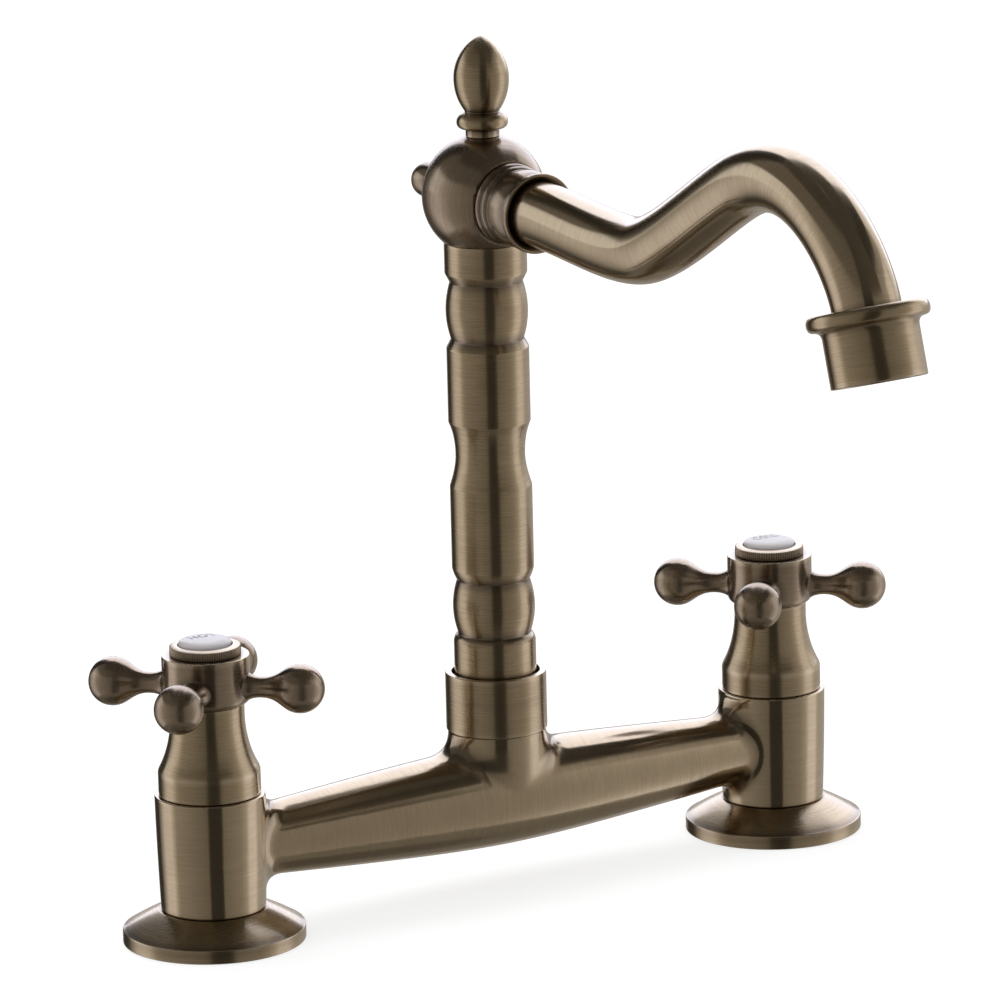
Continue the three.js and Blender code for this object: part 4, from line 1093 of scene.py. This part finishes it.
outlet_outline = outline(
    (TUBE_RADIUS + TUBE_FIT, -0.25),
    (15.9, -0.25),
    (OUTLET_FLANGE, -0.1, OUTLET_FLANGE, 2),
    (OUTLET_FLANGE, 4.1, 15.9, 4.25),
    (OUTLET_RADIUS, 4.4, OUTLET_RADIUS, 6.6),
    (OUTLET_RADIUS, OUTLET_LENGTH),
    (AERATOR_RADIUS + 0.3, OUTLET_LENGTH),
    (AERATOR_RADIUS + 0.3, AERATOR_SEAT),
    (TUBE_BORE, AERATOR_SEAT),
    (TUBE_BORE, TUBE_INSERT + 0.3),
    (TUBE_RADIUS + TUBE_FIT, TUBE_INSERT + 0.3),
)
outlet = piece("turned_outlet", moved(turned(outlet_outline, closed=True), OUTLET_PLACE), rubbed_brass)
brush_round(outlet, OUTLET_PLACE.translation / MM, OUTLET_PLACE.to_3x3() @ UP)
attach(outlet, "swivel_spout")
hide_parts("outlet_sleeve")
finish_nodes(rubber, "aerator_seal")
finish_nodes(acetal, "aerator_insert")

# ---- Floor, light and camera ----
# A plain white studio: a pale floor, a white room and a soft box overhead.
# Grey and white cards round the faucet show only in its reflections, where they make the bands.


def stage_piece(name, bm, material):
    mesh = bpy.data.meshes.new(name)
    bm.to_mesh(mesh)
    bm.free()
    mesh.materials.append(material)
    made = bpy.data.objects.new(name, mesh)
    bpy.context.collection.objects.link(made)
    return made


floor_material, tree = start_material("white_floor")
path = add(tree, "LightPath").outputs
paper = add(tree, "BsdfDiffuse", {"Color": linear("#b8b8b8")})
lift = add(tree, "Math", {0: path["Is Camera Ray"], 1: 0.72}, operation="MULTIPLY").outputs[0]
lifted = add(tree, "Emission", {"Color": (1, 1, 1, 1), "Strength": lift})
both = add(tree, "AddShader", {0: paper.outputs[0], 1: lifted.outputs[0]})
add(tree, "OutputMaterial", {"Surface": both.outputs[0]})
bm = bmesh.new()
bmesh.ops.create_grid(bm, x_segments=1, y_segments=1, size=6)
floor = stage_piece("floor", bm, floor_material)
floor.visible_glossy = False

CARD_DISTANCE = 2.5
card_material, tree = start_material("studio_cards")
tone = add(tree, "Attribute", attribute_name="tone").outputs["Fac"]
cool = add(tree, "Math", {0: tone, 1: 0.55}, operation="MULTIPLY").outputs[0]
tints = {0: cool, 6: (1, 0.91, 0.76, 1), 7: (0.93, 0.95, 1.1, 1)}
tint = add(tree, "Mix", tints, data_type="RGBA").outputs[2]
add(tree, "OutputMaterial", {"Surface": add(tree, "Emission", {"Color": tint, "Strength": tone}).outputs[0]})


def card(name, low, high, *tones, distance=CARD_DISTANCE):
    """A curved card seen only in reflections. Its elevations and its azimuths are in degrees,
    and each tone is an azimuth with a grey, which run into each other. Darker is warmer."""
    bm = bmesh.new()
    start, end = tones[0][0], tones[-1][0]
    foot = math.radians(start)
    wire = []
    for lift in np.radians(np.linspace(low, high, 9)):
        out = Vector((math.sin(foot), -math.cos(foot), 0)) * math.cos(lift) + UP * math.sin(lift)
        wire.append(bm.verts.new(out * distance))
    edges = [bm.edges.new(pair) for pair in zip(wire, wire[1:])]
    turn = math.radians(end - start)
    steps = 2 * round(end - start)
    bmesh.ops.spin(bm, geom=wire + edges, axis=UP, cent=(0, 0, 0), angle=turn, steps=steps)
    layer = bm.verts.layers.float.new("tone")
    for v in bm.verts:
        azimuth = start + (math.degrees(math.atan2(v.co.x, -v.co.y)) - start + 1) % 360 - 1
        v[layer] = np.interp(azimuth, [t[0] for t in tones], [t[1] for t in tones])
    made = stage_piece(name, bm, card_material)
    made.visible_camera = False
    made.visible_diffuse = False
    made.visible_shadow = False
    made.visible_transmission = False


low_left_tones = ((-163, 0.08), (-150, 0.5), (-141, 0.9), (-121, 0.95), (-107, 0.4), (-37, 0.2))
card("low_left_wall", -45, 5, *low_left_tones)
card("left_wall", 5, 30, (-131, 1), (-107, 0.4), (-37, 0.2))
card("front_flag", -45, 30, (-37, 0.05), (-8, 0.05))
right_tones = ((-8, 0.24), (33, 0.37), (48, 0.55), (57, 1), (76, 1.05), (86, 0.6))
card("right_wall", -45, 30, *right_tones)
card("far_right_wall", -45, 5, (86, 0.6), (120, 0.45), (168, 0.35))
card("low_back_flag", -45, 5, (168, 0.05), (197, 0.05))
card("high_back_flag", 5, 60, (170, 0.03), (203, 0.03), distance=2.4)
card("left_ceiling", 30, 60, (-157, 0.3), (-150, 0.18), (-37, 0.15))
card("front_ceiling", 30, 60, (-37, 0.07), (30, 0.1))
card("right_soffit", 30, 42, (30, 0.38), (86, 0.4))
card("right_ceiling", 42, 60, (30, 0.05), (104, 0.04))
card("top_ceiling", 60, 89, (-180, 0.08), (180, 0.08))
card("back_box", 5, 60, (104, 1.9), (170, 1.9))
card("near_table", -62, -45, (-180, 0.22), (180, 0.22))
card("dark_table", -89, -62, (-180, 0.12), (180, 0.12))

world = bpy.data.worlds.new("white_room")
bpy.context.scene.world = world
world.use_nodes = True
tree = world.node_tree
tree.nodes.clear()
path = add(tree, "LightPath").outputs
seen = add(tree, "Math", {0: path["Is Camera Ray"], 1: path["Is Glossy Ray"]}, operation="MAXIMUM").outputs[0]
seen = add(tree, "Math", {0: seen, 1: path["Is Transmission Ray"]}, operation="MAXIMUM").outputs[0]
strength = add(tree, "MapRange", {0: seen, 1: 0, 2: 1, 3: 0.6, 4: 1}).outputs[0]
room = add(tree, "Background", {"Color": (1, 1, 1, 1), "Strength": strength})
add(tree, "OutputWorld", {"Surface": room.outputs[0]})


def soft_box(name, place, target, size, power):
    lamp = bpy.data.lights.new(name, "AREA")
    lamp.shape = "RECTANGLE"
    lamp.size, lamp.size_y = size
    lamp.energy = power
    made = bpy.data.objects.new(name, lamp)
    made.location = place
    made.rotation_euler = (Vector(target) - Vector(place)).to_track_quat("-Z", "Y").to_euler()
    made.visible_glossy = False
    bpy.context.collection.objects.link(made)
    return made


soft_box("overhead_box", (0.1, 0.5, 1.3), (0, 0, 0.12), (1.6, 0.7), 6)

CAMERA_AZIMUTH = math.radians(-31.75)
CAMERA_ELEVATION = math.radians(13.49)
CAMERA_ROLL = math.radians(-1.38)
CAMERA_DISTANCE = 2.173
CAMERA_AIM = Vector((0.0022, -0.0014, 0.1206))

across = Vector((math.cos(CAMERA_AZIMUTH), math.sin(CAMERA_AZIMUTH), 0))
back = Vector((math.sin(CAMERA_AZIMUTH), -math.cos(CAMERA_AZIMUTH), 0)) * math.cos(CAMERA_ELEVATION)
back += UP * math.sin(CAMERA_ELEVATION)
upright = back.cross(across)
right = across * math.cos(CAMERA_ROLL) + upright * math.sin(CAMERA_ROLL)
lens = bpy.data.cameras.new("camera")
lens.lens = 256.9
lens.sensor_width = 36
camera = bpy.data.objects.new("camera", lens)
camera.matrix_world = Matrix.Translation(CAMERA_AIM + back * CAMERA_DISTANCE) @ Matrix(
    (right, back.cross(right), back)
).transposed().to_4x4()
bpy.context.collection.objects.link(camera)
bpy.context.scene.camera = camera
bpy.context.scene.view_settings.view_transform = "Standard"
